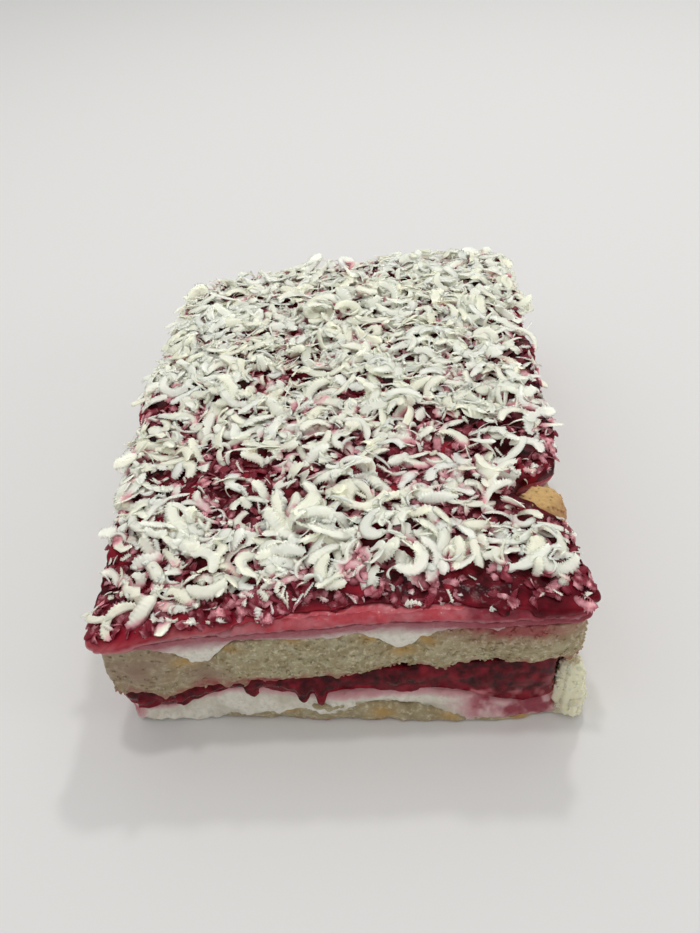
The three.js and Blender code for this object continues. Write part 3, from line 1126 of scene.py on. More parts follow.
@dataclass
class BandSkin(LayerSkin):
    """Berry cream: a rounded glossy band, coral above and pale below, deeper towards both ends."""

    deep_left: float = -24.0
    deep_right: float = 36.0
    overlap: float = 0.4
    smear: float = 1.5
    top_waver: float = 0.6
    shoulder: float = 1.4
    cream_lip: float = 1.2
    cream_seed: int = 51
    wall_probe: float = 0.6

    def overhang(self) -> Array:
        """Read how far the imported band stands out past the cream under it.

        Returns:
            Distances outwards, one for each line.
        """
        c = self.columns
        cream_top = c.levels(Layer.UPPER_CREAM)[1]
        foot = c.levels(Layer.BAND)[0]
        cream_wall = c.reach(Layer.UPPER_CREAM, cream_top - self.wall_probe)
        return cream_wall - c.reach(Layer.BAND, foot + self.wall_probe)

    def edges(self, bottom: Array, top: Array) -> tuple[Array, Array]:
        """Close up to the neighbours, unevenly below.

        Args:
            bottom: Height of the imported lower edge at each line.
            top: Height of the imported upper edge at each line.

        Returns:
            The uneven lower and upper edges.
        """
        c = self.columns
        line = c.edge_line()
        smear = np.maximum(fractal(line, 5.0, self.seed + 3), -0.3)
        smear = smear + 0.5 * fractal(line, 1.8, self.seed + 5, 2)
        low = bottom - self.overlap - self.smear * np.maximum(smear, -0.1)
        return low, top + self.top_waver * front_of(c.plan) * fractal(line, 4.0, self.seed + 7, 2)

    def relief(self, points: Array, share: Array, drop: Array) -> Array:
        """The dabs of the cream below, and on the front a foot flush with it and a sloping shoulder.

        Args:
            points: Places on the wall.
            share: Share of the way up the layer.
            drop: Distance below its top; not used.

        Returns:
            Distances outwards.
        """
        flush = (self.cream_lip - self.overhang()) * smooth(share, 0.8, 0.0)
        slope = flush - self.shoulder * smooth(share, 0.4, 1.0)
        return rippled(SPREAD_DABS, points, self.cream_seed) + front_of(points) * slope

    def attributes(self, points: Array, share: Array, drop: Array) -> dict[str, Array]:
        """Where the band is pale, and where it is coral rather than dark.

        Args:
            points: Places on the wall.
            share: Share of the way up the layer.
            drop: Distance below its top; not used.

        Returns:
            The numbers that the finish reads.
        """
        x = points[..., 0] + 6.0 * fractal(points, 14.0, self.seed + 4)
        middle = smooth(x, self.deep_left - 16.0, self.deep_left)
        middle = middle * smooth(x, self.deep_right + 8.0, self.deep_right)
        around = 1.0 - front_of(points)
        thin = np.maximum(middle, 0.6 * around) * (0.85 + 0.3 * fractal(points, 3.0, self.seed + 6))
        pale = smooth(share + 0.2 * fractal(points, 4.0, self.seed + 8), 0.55, 0.05)
        fleck = 0.5 * fractal(points, 2.2, self.seed + 13) + 0.3 * fractal(points, 7.0, self.seed + 16)
        fleck = fleck + 0.85 * smooth(x, -16.0, -34.0) - 0.2 * smooth(x, 34.0, 48.0)
        milky = np.clip(0.18 + 0.75 * pale + fleck, 0.0, 0.9)
        return {"thin": np.clip(0.25 + thin, 0.0, 1.0), "milky": milky}


@dataclass
class SauceCoat:
    """The dark sauce: a lumpy rim and an uneven top that follows the berry cream under it."""

    columns: SlabColumns
    finish: BerryFinish
    name: str = "berry_sauce_coat"
    thickness: float = 3.2
    sunk: float = 0.5
    fruit_size: float = 6.5
    fruit_height: float = 1.3
    pulp_size: float = 2.6
    pulp_height: float = 0.8
    swell: Ripple = Ripple(0.7, 9.0, 9)
    corner_at: tuple[float, float] = (-72.0, -106.0)
    corner_radius: float = 28.0
    corner_thinning: float = 1.0
    front_thinning: float = 0.8
    front_reach: float = 9.0
    mound: tuple[float, float] = (52.0, 16.0)
    rings: int = 54
    ring_power: float = 1.15
    rim_turns: int = 5
    rim_grain: Ripple = Ripple(0.8, 2.6, 41, 2)
    rim_step: float = 0.9
    wall_probe: float = 1.2
    most_bare: float = 6.5
    drop_at: tuple[float, float] = (77.5, -99.0)
    drop_reach: float = 2.8
    drop_width: float = 4.6
    seed: int = 61
    lumps: tuple[Mark, ...] = ()

    def depth(self, points: Array) -> Array:
        """Work out how thick the sauce lies.

        Args:
            points: Places of the plan.

        Returns:
            Depths before the front is thinned.
        """
        flat = points * (1.0, 1.0, 0.0)
        away, value = cells(flat, self.fruit_size, self.seed)
        pulp, pulp_value = cells(flat, self.pulp_size, self.seed + 13)
        fruit = self.fruit_height * smooth(away, 0.62, 0.05) * smooth(value, 0.35, 0.8)
        fruit = fruit + self.pulp_height * (0.5 - pulp) * pulp_value
        corner = np.hypot(points[..., 0] - self.corner_at[0], points[..., 1] - self.corner_at[1])
        thin = self.corner_thinning * hump(corner, self.corner_radius)
        return self.thickness - thin - self.sunk + fruit + self.swell.at(flat, self.seed) + self.heaps(flat)

    def thinning(self, points: Array, inside: Array) -> Array:
        """Thin the sauce towards the cut front, less at its mound.

        Args:
            points: Places of the plan.
            inside: How far inside the sauce's edge each place is.

        Returns:
            The share of its depth that the sauce keeps.
        """
        place, half = self.mound
        mound = hump(points[..., 0] - place, half)
        thinned = self.front_thinning * front_of(points) * (1.0 - 0.7 * mound)
        return 1.0 - thinned * smooth(inside, self.front_reach, 0.0)

    def heaps(self, points: Array) -> Array:
        """Add the named lumps; their z is how high they stand and their height is a place along the slab.

        Args:
            points: Places of the plan.

        Returns:
            Extra depths.
        """
        total = np.zeros(points.shape[:-1])
        for mark in self.lumps:
            across, along = points[..., 0] - mark.x, points[..., 1] - mark.height
            total += mark.z * np.exp(-((across / mark.width) ** 2 + (along / mark.width) ** 2))
        return total

    def outline(self, under: Array) -> Array:
        """Find where the sauce ends along each line, with lobes and one drop that hangs out.

        Args:
            under: Height of the sauce's underside at each line.

        Returns:
            Distances along the lines.
        """
        c = self.columns
        line = np.concatenate([c.plan, under[:, None]], axis=1)
        away, value = cells(line, 5.5, self.seed + 3)
        edge = c.reach(Layer.SAUCE, under + 1.0)
        edge = edge - 1.5 * smooth(away, 0.7, 0.1) * value - 0.9 * fractal(line, 6.0, self.seed + 5, 3) + 0.5
        edge = edge - 1.6 * front_of(c.plan) * fractal(line, 8.0, self.seed + 7, 3)
        wall = c.reach(Layer.BAND, under - self.wall_probe)
        edge = wall + self.most_bare * np.tanh((edge - wall) / self.most_bare)
        return edge - self.drop_reach * hump(np.linalg.norm(c.plan - self.drop_at, axis=1), self.drop_width)

    def attributes(self, points: Array, under: Array) -> dict[str, Array]:
        """Where the sauce is thin and bright, and where cream clouds its hem.

        Args:
            points: Places on the sauce, in rows.
            under: Height of the sauce's underside at each line.

        Returns:
            The numbers that the finish reads.
        """
        thin = 0.85 * smooth(fractal(points, 7.0, self.seed + 21), 0.12, 0.5)
        brim = smooth(-points[..., 1] + 2.5 * fractal(points, 5.0, self.seed + 23), 101.0, 106.0)
        thin = np.maximum(thin, 0.7 * brim * (1.0 - hump(points[..., 0] - 54.0, 18.0)))
        hem = smooth(points[..., 2] - under + 0.8 * fractal(points, 3.0, self.seed + 25), 1.2, -1.4)
        milky = 0.7 * hem * smooth(points[..., 0], -12.0, -34.0) * front_of(points)
        return {"thin": thin, "milky": milky}

    def build(self) -> bpy.types.Object:
        """Build, dress and hand over the sauce.

        Returns:
            The piece.
        """
        c = self.columns
        under = c.levels(Layer.BAND)[1] + 0.3
        edge = self.outline(under)
        rim = self.rim(edge, under)
        rough = self.rim_grain.at(rim, self.seed)
        rim[2:, :, :2] -= c.inward * rough[2:, :, None]
        rim[2:, :, 2] += 0.5 * rough[2:]
        points = np.concatenate([rim, self.bed(edge, under)])
        skin = LayerSkin(c, Layer.SAUCE, Slot.SAUCE, self.finish, self.name, 0)
        mesh = skin.closed(points, self.attributes(points, under))
        return dressed(mesh, self.finish.material(), Layer.SAUCE)

    def rim(self, edge: Array, under: Array) -> Array:
        """Lay out the rows from the sauce's underside, round its hanging hem and up over its rounded rim.

        Args:
            edge: How far in the sauce ends along each line.
            under: Height of the sauce's underside at each line.

        Returns:
            The rows of points.
        """
        c = self.columns
        wall = c.reach(Layer.BAND, under - self.wall_probe)
        drape = 1.6 + 2.4 * np.clip(fractal(c.edge_line(), 7.0, self.seed + 31) + 0.2, 0.0, 1.0)
        hang = smooth(edge - wall, 1.6, 0.0) * drape
        spot = np.concatenate([c.start + c.inward * (edge + 1.0)[:, None], under[:, None]], axis=1)
        depth = self.depth(spot) * self.thinning(spot, np.zeros(len(spot)))
        lip = np.minimum(edge, wall - 0.2)
        lip = lip + smooth(hang, 0.8, 0.0) * (edge - lip)
        rows = [(edge + 9.0, under), (edge + 4.0, under)]
        rows += [(lip + 1.2, under - 0.9 * hang), (lip + 0.3, under - hang)]
        foot = under - 0.75 * hang
        for a in np.linspace(0.0, math.pi / 2, self.rim_turns + 1):
            far = lip + (1.0 - math.cos(a)) * (edge - lip + self.rim_step) - 0.4 * math.sin(2.0 * a)
            rows.append((far, foot + (under + 0.8 * depth - foot) * math.sin(a)))
        flat = [np.concatenate([c.start + c.inward * far[:, None], z[:, None]], axis=1) for far, z in rows]
        return np.array(flat)

    def bed(self, edge: Array, under: Array) -> Array:
        """Lay out the rows of the top, from just inside the rim almost to the spine.

        Args:
            edge: How far in the sauce ends along each line.
            under: Height of the sauce's underside at each line.

        Returns:
            The rows of points.
        """
        c = self.columns
        spine = np.linalg.norm(c.spine_points() - c.start, axis=1)
        shares = np.linspace(0.0, 1.0, self.rings + 2)[1:-1] ** self.ring_power
        rows = []
        for share in shares:
            far = edge + self.rim_step + share * (spine - edge - self.rim_step)
            flat = c.start + c.inward * far[:, None]
            floor = under + smooth(share, 0.0, 0.5) * (self.middle_level(flat) - under)
            spot = np.concatenate([flat, floor[:, None]], axis=1)
            rise = smooth(np.full(len(far), share * 60.0), -1.2, 2.2)
            spot[:, 2] += self.depth(spot) * (0.75 + 0.25 * rise) * self.thinning(spot, far - edge)
            rows.append(spot)
        return np.array(rows)

    def middle_level(self, flat: Array) -> Array:
        """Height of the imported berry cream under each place."""
        tree = self.columns.trees[Layer.BAND]
        return filled(np.array([level_at(tree, *spot) + 0.2 for spot in flat]))


@dataclass
class SpongeLump:
    """A lump of sponge that stands clear of its layer, with rounded shoulders and steep sides."""

    finish: SpongeFinish
    columns: SlabColumns
    layer: Layer
    name: str
    centre: tuple[float, float]
    reach: tuple[float, float]
    drop: float
    crust: float = 0.0
    pale: float = 0.0
    stain: float = 0.0
    rough: float = 0.9
    shoulder: float = 5.0
    crown_rise: float = 0.6
    crumb_size: float = 1.9
    rings: int = 34
    sides: int = 72
    seed: int = 83

    def points(self, share: Array, angle: Array) -> Array:
        """Lay out the uneven surface.

        Args:
            share: Shares of the way from the crown to the foot.
            angle: Angles round the lump.

        Returns:
            A point for each share and angle.
        """
        ring = np.stack([np.cos(angle), np.sin(angle), 0.0 * angle], axis=-1)
        out = share * (1.0 + 0.22 * fractal(4.0 * ring, 3.0, self.seed))
        x = self.centre[0] + self.reach[0] * out * np.cos(angle)
        y = self.centre[1] + self.reach[1] * out * np.sin(angle)
        top = level_at(self.columns.trees[self.layer], *self.centre) + self.crown_rise
        spots = np.stack([x, y, top - self.drop * share**self.shoulder + 0.0 * angle], axis=-1)
        grain, value = cells(spots, self.crumb_size, self.seed + 4)
        rough = self.rough * (fractal(spots, 4.0, self.seed + 2) + 0.9 * (0.5 - grain) * (0.4 + value))
        side = share**4
        spots[..., 2] += rough * (1 - side)
        spots[..., 0] += rough * side * np.cos(angle)
        spots[..., 1] += rough * side * np.sin(angle)
        return spots

    def build(self) -> bpy.types.Object:
        """Build, dress and hand over the lump.

        Returns:
            The piece.
        """
        share = np.linspace(1.0, 0.03, self.rings)[:, None] ** 0.6
        angle = np.linspace(0.0, 2 * math.pi, self.sides, endpoint=False)[None, :]
        points = self.points(share, angle)
        last = self.rings * self.sides
        every = np.concatenate([points.reshape(-1, 3), points[-1].mean(axis=0)[None]])
        i = np.arange(self.sides)
        j = (i + 1) % self.sides
        cap = np.stack([last - self.sides + i, last - self.sides + j, np.full_like(i, last)], 1)
        mesh = new_mesh(self.name, every, [ring_faces(self.rings, self.sides), cap])
        patch = np.clip(0.5 + 0.7 * fractal(every, 5.0, self.seed + 6), 0.0, 1.0)
        away, value = cells(every, 1.6, self.seed + 8)
        foot = np.concatenate([np.broadcast_to(share**3, points.shape[:2]).ravel(), np.zeros(1)])
        # The pore mask, which the finish darkens as painted shade; the pale crumb has none.
        set_attribute(mesh, "pore", (1.0 - self.pale) * smooth(away, 0.5, 0.1) * smooth(value, 0.4, 0.8))
        set_attribute(mesh, "soak", 0.25 * (1.0 - self.pale) * patch)
        set_attribute(mesh, "crust", np.clip(self.crust * (0.75 + 0.25 * patch), 0.0, 0.95))
        set_attribute(mesh, "pale", self.pale * (0.8 + 0.2 * patch))
        set_attribute(mesh, "stain", self.stain * foot)
        set_attribute(mesh, "crumbly", np.full(len(every), 1.0))
        return dressed(mesh, self.finish.material(), self.layer)


# Loose crumbs of sponge

class ScatterTree:
    """Builds a node tree that sets shapes from a collection on points and dresses the result."""

    def __init__(self, name: str, inputs: dict[str, str], material: bpy.types.Material) -> None:
        """Start the tree with the nodes that every scatter has.

        Args:
            name: Name of the tree.
            inputs: Name and kind of each input; one is the collection called Shapes.
            material: Material of the result.
        """
        self.tree = bpy.data.node_groups.new(name, "GeometryNodeTree")
        self.link = self.tree.links.new
        for key, kind in inputs.items():
            self.tree.interface.new_socket(key, in_out="INPUT", socket_type="NodeSocket" + kind)
        self.tree.interface.new_socket("Geometry", in_out="OUTPUT", socket_type="NodeSocketGeometry")
        self.given = self.add("NodeGroupInput").outputs
        shapes = self.add("GeometryNodeCollectionInfo")
        shapes.inputs["Separate Children"].default_value = True
        shapes.inputs["Reset Children"].default_value = True
        turned = self.add("FunctionNodeEulerToRotation")
        place = self.add("GeometryNodeInstanceOnPoints")
        place.inputs["Pick Instance"].default_value = True
        self.euler = turned.inputs["Euler"]
        self.place = place.inputs
        real, dress = self.add("GeometryNodeRealizeInstances"), self.add("GeometryNodeSetMaterial")
        dress.inputs["Material"].default_value = material
        result = self.add("NodeGroupOutput")
        self.link(self.given["Shapes"], shapes.inputs["Collection"])
        self.link(shapes.outputs["Instances"], self.place["Instance"])
        self.link(turned.outputs["Rotation"], self.place["Rotation"])
        self.link(place.outputs["Instances"], real.inputs["Geometry"])
        self.link(real.outputs["Geometry"], dress.inputs["Geometry"])
        self.link(dress.outputs["Geometry"], result.inputs["Geometry"])

    def add(self, kind: str) -> bpy.types.Node:
        """Add a node."""
        return self.tree.nodes.new(kind)

    def stored(self, name: str, kind: str) -> Socket:
        """Read an attribute of the points or the surface.

        Args:
            name: Name of the attribute.
            kind: Its kind of data.

        Returns:
            Its value.
        """
        node = self.add("GeometryNodeInputNamedAttribute")
        node.data_type = kind
        node.inputs["Name"].default_value = name
        return node.outputs["Attribute"]

    def product(self, first: Socket, second: Socket) -> Socket:
        """Multiply two numbers.

        Args:
            first: The first number.
            second: The second number.

        Returns:
            The product.
        """
        node = self.add("ShaderNodeMath")
        node.operation = "MULTIPLY"
        self.link(first, node.inputs[0])
        self.link(second, node.inputs[1])
        return node.outputs[0]


def grown(name: str, carrier: bpy.types.Mesh, tree: bpy.types.NodeTree,
          shapes: list[bpy.types.Object], values: dict[str, float]) -> bpy.types.Mesh:
    """Run a node tree on a mesh and keep the result as a plain mesh.

    Args:
        name: Name of the result.
        carrier: The mesh that the tree starts from; it is used up.
        tree: The node tree; it is used up.
        shapes: The shapes that the tree sets in place; they are used up.
        values: The tree's other inputs.

    Returns:
        The new mesh.
    """
    store = bpy.data.collections.new(name + "_shapes")
    for shape in shapes:
        store.objects.link(shape)
    holder = new_object(carrier)
    modifier = holder.modifiers.new("grow", "NODES")
    modifier.node_group = tree
    inputs = [item for item in tree.interface.items_tree if item.in_out == "INPUT"]
    identifiers = {item.name: item.identifier for item in inputs}
    modifier[identifiers["Shapes"]] = store
    for key, value in values.items():
        modifier[identifiers[key]] = value
    graph = bpy.context.evaluated_depsgraph_get()
    grown_object = holder.evaluated_get(graph)
    made = bpy.data.meshes.new_from_object(grown_object, preserve_all_data_layers=True, depsgraph=graph)
    made.name = name
    holder.modifiers.remove(modifier)
    bpy.data.objects.remove(holder)
    for shape in shapes:
        bpy.data.objects.remove(shape)
    bpy.data.collections.remove(store)
    bpy.data.node_groups.remove(tree)
    return made


@dataclass
class CrumbCoat:
    """Loose crumbs that stick to the torn wall of a sponge layer, thickest where the wall is crumbly."""

    sponge: bpy.types.Object
    layer: Layer
    finish: SpongeFinish
    name: str
    per_cm2: float = 21.0
    sizes: tuple[float, float] = (0.28, 0.8)
    shapes: int = 6
    rings: int = 4
    sides: int = 6
    seed: int = 17

    def shape(self, number: int) -> bpy.types.Object:
        """Make one lumpy crumb about 2 mm wide.

        Args:
            number: Which of the shapes it is.

        Returns:
            The crumb, not yet in the scene.
        """
        rise = np.linspace(-0.8, 0.8, self.rings)[:, None]
        angle = np.linspace(0.0, 2 * math.pi, self.sides, endpoint=False)[None]
        flat = np.sqrt(1.0 - rise**2)
        ball = np.stack([flat * np.cos(angle), flat * np.sin(angle), rise + 0.0 * angle], axis=-1)
        ball = ball.reshape(-1, 3)
        every = np.concatenate([ball, [(0.0, 0.0, -1.0), (0.0, 0.0, 1.0)]])
        every = every * (0.85 + 0.4 * noise(every + 7.0 * number, 0.9, self.seed)[:, None])
        i = np.arange(self.sides)
        j = (i + 1) % self.sides
        low, high = np.full_like(i, len(ball)), np.full_like(i, len(ball) + 1)
        top = (self.rings - 1) * self.sides
        caps = [np.stack([j, i, low], 1), np.stack([top + i, top + j, high], 1)]
        mesh = new_mesh(f"{self.name}_{number}", every, [ring_faces(self.rings, self.sides), *caps])
        return bpy.data.objects.new("crumb", mesh)

    def tree(self, material: bpy.types.Material) -> bpy.types.NodeTree:
        """Build the node tree that strews crumbs over a surface.

        Args:
            material: Material of the crumbs.

        Returns:
            The tree. Its inputs are the surface, the shapes, how dense and how large they are, and a seed.
        """
        inputs = {"Surface": "Geometry", "Shapes": "Collection", "Density": "Float",
                  "Smallest": "Float", "Largest": "Float", "Seed": "Int"}
        t = ScatterTree(self.name + "_tree", inputs, material)
        spread = t.add("GeometryNodeDistributePointsOnFaces")
        turn, size = t.add("FunctionNodeRandomValue"), t.add("FunctionNodeRandomValue")
        turn.data_type = "FLOAT_VECTOR"
        turn.inputs[1].default_value = (2 * math.pi,) * 3
        t.link(t.given["Surface"], spread.inputs["Mesh"])
        t.link(t.product(t.stored("crumbly", "FLOAT"), t.given["Density"]), spread.inputs["Density"])
        t.link(t.given["Seed"], spread.inputs["Seed"])
        t.link(t.given["Smallest"], size.inputs[2])
        t.link(t.given["Largest"], size.inputs[3])
        t.link(t.given["Seed"], size.inputs["Seed"])
        t.link(spread.outputs["Points"], t.place["Points"])
        t.link(turn.outputs[0], t.euler)
        t.link(size.outputs[1], t.place["Scale"])
        return t.tree

    def build(self) -> bpy.types.Object:
        """Strew, dress and hand over the crumbs.

        Returns:
            The piece.
        """
        material = self.finish.material()
        shapes = [self.shape(k) for k in range(self.shapes)]
        smallest, largest = self.sizes
        values = {"Density": self.per_cm2 * 1e4, "Smallest": smallest, "Largest": largest, "Seed": self.seed}
        made = grown(self.name, self.sponge.data.copy(), self.tree(material), shapes, values)
        return dressed(made, material, self.layer)


# White shavings

class Kind(Enum):
    """The kinds of shaving that lie on the sauce."""

    CURL = "white_curls"
    GRUB = "white_cupped_shavings"
    RIBBON = "white_toothed_ribbons"
    RING = "white_rings"
    CHIP = "white_chips"
    FLAKE = "white_flakes"
    WISP = "white_wisps"
    CRUMB = "white_crumbs"
    STAINED = "stained_chips"


@dataclass(frozen=True)
class ShavingCut:
    """How one kind of shaving is cut: ranges of its sizes, and how many there are of it."""

    count: int
    shapes: int
    length: tuple[float, float]
    width: tuple[float, float]
    arch: tuple[float, float]
    curl: tuple[float, float]
    cup: tuple[float, float]
    ridge: float
    teeth: tuple[float, float]
    pitch: tuple[float, float] = (0.95, 1.25)
    thickness: float = 0.5
    across: int = 5
    taper: float = 0.45
    uneven: float = 0.22
    roll: float = 0.35
    flip: float = 0.12


@dataclass
class ShavingShape:
    """One shaving: a cupped strip that bends along its length, with cross ridges that end in teeth."""

    cut: ShavingCut
    rng: np.random.Generator

    def pick(self, limits: tuple[float, float]) -> float:
        """Draw a size from a range."""
        return float(self.rng.uniform(*limits))

    def spine(self, length: float, steps: int) -> tuple[Array, Array]:
        """Follow the strip's middle line.

        Args:
            length: Length of the strip.
            steps: Number of steps along it.

        Returns:
            The points of the line, and at each one the axes along, across and up.
        """
        arch = self.pick(self.cut.arch)
        curl = self.pick(self.cut.curl) * self.rng.choice((-1.0, 1.0))
        twist = self.rng.normal(0.0, 0.3)
        tight = 1.0 + 0.6 * np.sin(np.linspace(0.0, math.pi, steps + 1) + self.rng.uniform(-1.2, 1.2))
        tight = tight / tight.mean()
        turn = Matrix.Identity(3)
        points, axes = [np.zeros(3)], [np.array(turn)]
        for k in range(steps):
            bend = (twist / steps, arch * tight[k] / steps, curl * tight[k] / steps)
            turn = turn @ Euler(bend).to_matrix()
            axes.append(np.array(turn))
            points.append(points[-1] + np.array(turn.col[0]) * length / steps)
        return np.array(points), np.array(axes)

    def sections(self, points: Array, steps: int) -> tuple[Array, Array]:
        """Lay out the cross sections.

        Args:
            points: The middle line.
            steps: Number of steps along it.

        Returns:
            How far across and how far up each point of each section is: over the back, then under it.
        """
        cut, rng = self.cut, self.rng
        along = np.linspace(-1.0, 1.0, steps + 1)
        crest = (np.arange(steps + 1) % 2) * rng.uniform(0.4, 1.0, steps + 1)
        blunt = rng.uniform(2.0, 7.0)
        wander = noise(points + rng.uniform(0.0, 90.0, 3), 3.6, 5)
        half = 0.5 * self.pick(cut.width) * (1.0 - cut.taper * np.abs(along) ** blunt)
        half = half * (1.0 + cut.uneven * wander)
        cup = self.pick(cut.cup)
        angle = np.linspace(-cup, cup, cut.across)
        across = half[:, None] * np.sin(angle)[None] / math.sin(cup)
        up = half[:, None] * (np.cos(angle) - math.cos(cup))[None] / math.sin(cup)
        inner = np.arange(cut.across)[1:-1:2] if cut.across < 5 else np.arange(1, cut.across - 1)
        below = up[:, inner] - cut.thickness * np.cos(angle[inner])[None]
        inside = across[:, inner] - cut.thickness * np.sin(angle[inner])[None]
        up[:, 1:-1] += cut.ridge * crest[:, None]
        for edge, sign in ((0, -1.0), (-1, 1.0)):
            bite = np.maximum(noise(points + rng.uniform(0.0, 90.0, 3), 2.4, 6) - 0.2, 0.0) * half
            tooth = self.pick(cut.teeth) * rng.choice((0.15, 0.7, 1.0)) * crest - 1.1 * bite
            across[:, edge] += sign * tooth * math.cos(0.4 * cup)
            up[:, edge] -= tooth * math.sin(0.4 * cup)
        flat = np.concatenate([across, inside[:, ::-1]], 1)
        return flat, np.concatenate([up, below[:, ::-1]], 1)

    def build(self, name: str) -> bpy.types.Object:
        """Make the shaving about its own middle, with a crisp edge along every ridge.

        Args:
            name: Name of the shaving.

        Returns:
            The shaving, not yet in the scene.
        """
        length = self.pick(self.cut.length)
        steps = 2 * max(1, round(length / self.pick(self.cut.pitch)))
        points, axes = self.spine(length, steps)
        across, up = self.sections(points, steps)
        body = points[:, None, :] + across[..., None] * axes[:, None, :, 1]
        body = body + up[..., None] * axes[:, None, :, 2]
        around = body.shape[1]
        torn = self.rng.uniform(-0.8, 0.8, (2, around, 1))
        body[[0, -1]] += torn * axes[[0, -1], None, :, 0]
        every = body.reshape(-1, 3)
        every = every - 0.5 * (every.min(axis=0) + every.max(axis=0))
        corner = np.arange(around)
        fan = np.stack([np.zeros(around - 2, int), corner[1:-1], corner[2:]], axis=1)
        faces = [ring_faces(steps + 1, around)[:, ::-1], fan, (fan + steps * around)[:, ::-1]]
        mesh = new_mesh(name, every, faces)
        ends = np.empty(2 * len(mesh.edges), np.int32)
        mesh.edges.foreach_get("vertices", ends)
        ring = ends.reshape(-1, 2) // around
        mesh.edges.foreach_set("use_edge_sharp", ring[:, 0] == ring[:, 1])
        return bpy.data.objects.new(name, mesh)


def scatter_tree(name: str, material: bpy.types.Material) -> bpy.types.NodeTree:
    """Build the node tree that sets a shape on every point.

    Args:
        name: Name of the tree.
        material: Material of the result.

    Returns:
        The tree. Its inputs are the points, the collection of shapes and an overall size.
    """
    t = ScatterTree(name, {"Points": "Geometry", "Shapes": "Collection", "Size": "Float"}, material)
    t.link(t.given["Points"], t.place["Points"])
    t.link(t.stored("shape", "INT"), t.place["Instance Index"])
    t.link(t.stored("turn", "FLOAT_VECTOR"), t.euler)
    t.link(t.product(t.stored("size", "FLOAT"), t.given["Size"]), t.place["Scale"])
    return t.tree


def scattered(name: str, shapes: list[bpy.types.Object], spots: dict[str, Array],
              material: bpy.types.Material) -> bpy.types.Mesh:
    """Set shapes on points and turn the result into one plain mesh.

    Args:
        name: Name of the mesh.
        shapes: The shapes to pick from, in order.
        spots: Place, turn, shape, size, tint and thirst of each point.
        material: Material of the mesh.

    Returns:
        The mesh, with each point's tint and thirst on its corners.
    """
    mesh = bpy.data.meshes.new(name + "_points")
    mesh.from_pydata((spots["place"] * MM).tolist(), [], [])
    kinds = {"turn": "FLOAT_VECTOR", "shape": "INT", "size": "FLOAT", "tint": "FLOAT", "thirst": "FLOAT"}
    for key, kind in kinds.items():
        attribute = mesh.attributes.new(key, kind, "POINT")
        part = "vector" if kind == "FLOAT_VECTOR" else "value"
        attribute.data.foreach_set(part, np.ascontiguousarray(spots[key]).ravel())
    return grown(name, mesh, scatter_tree(name + "_tree", material), shapes, {"Size": 1.0})


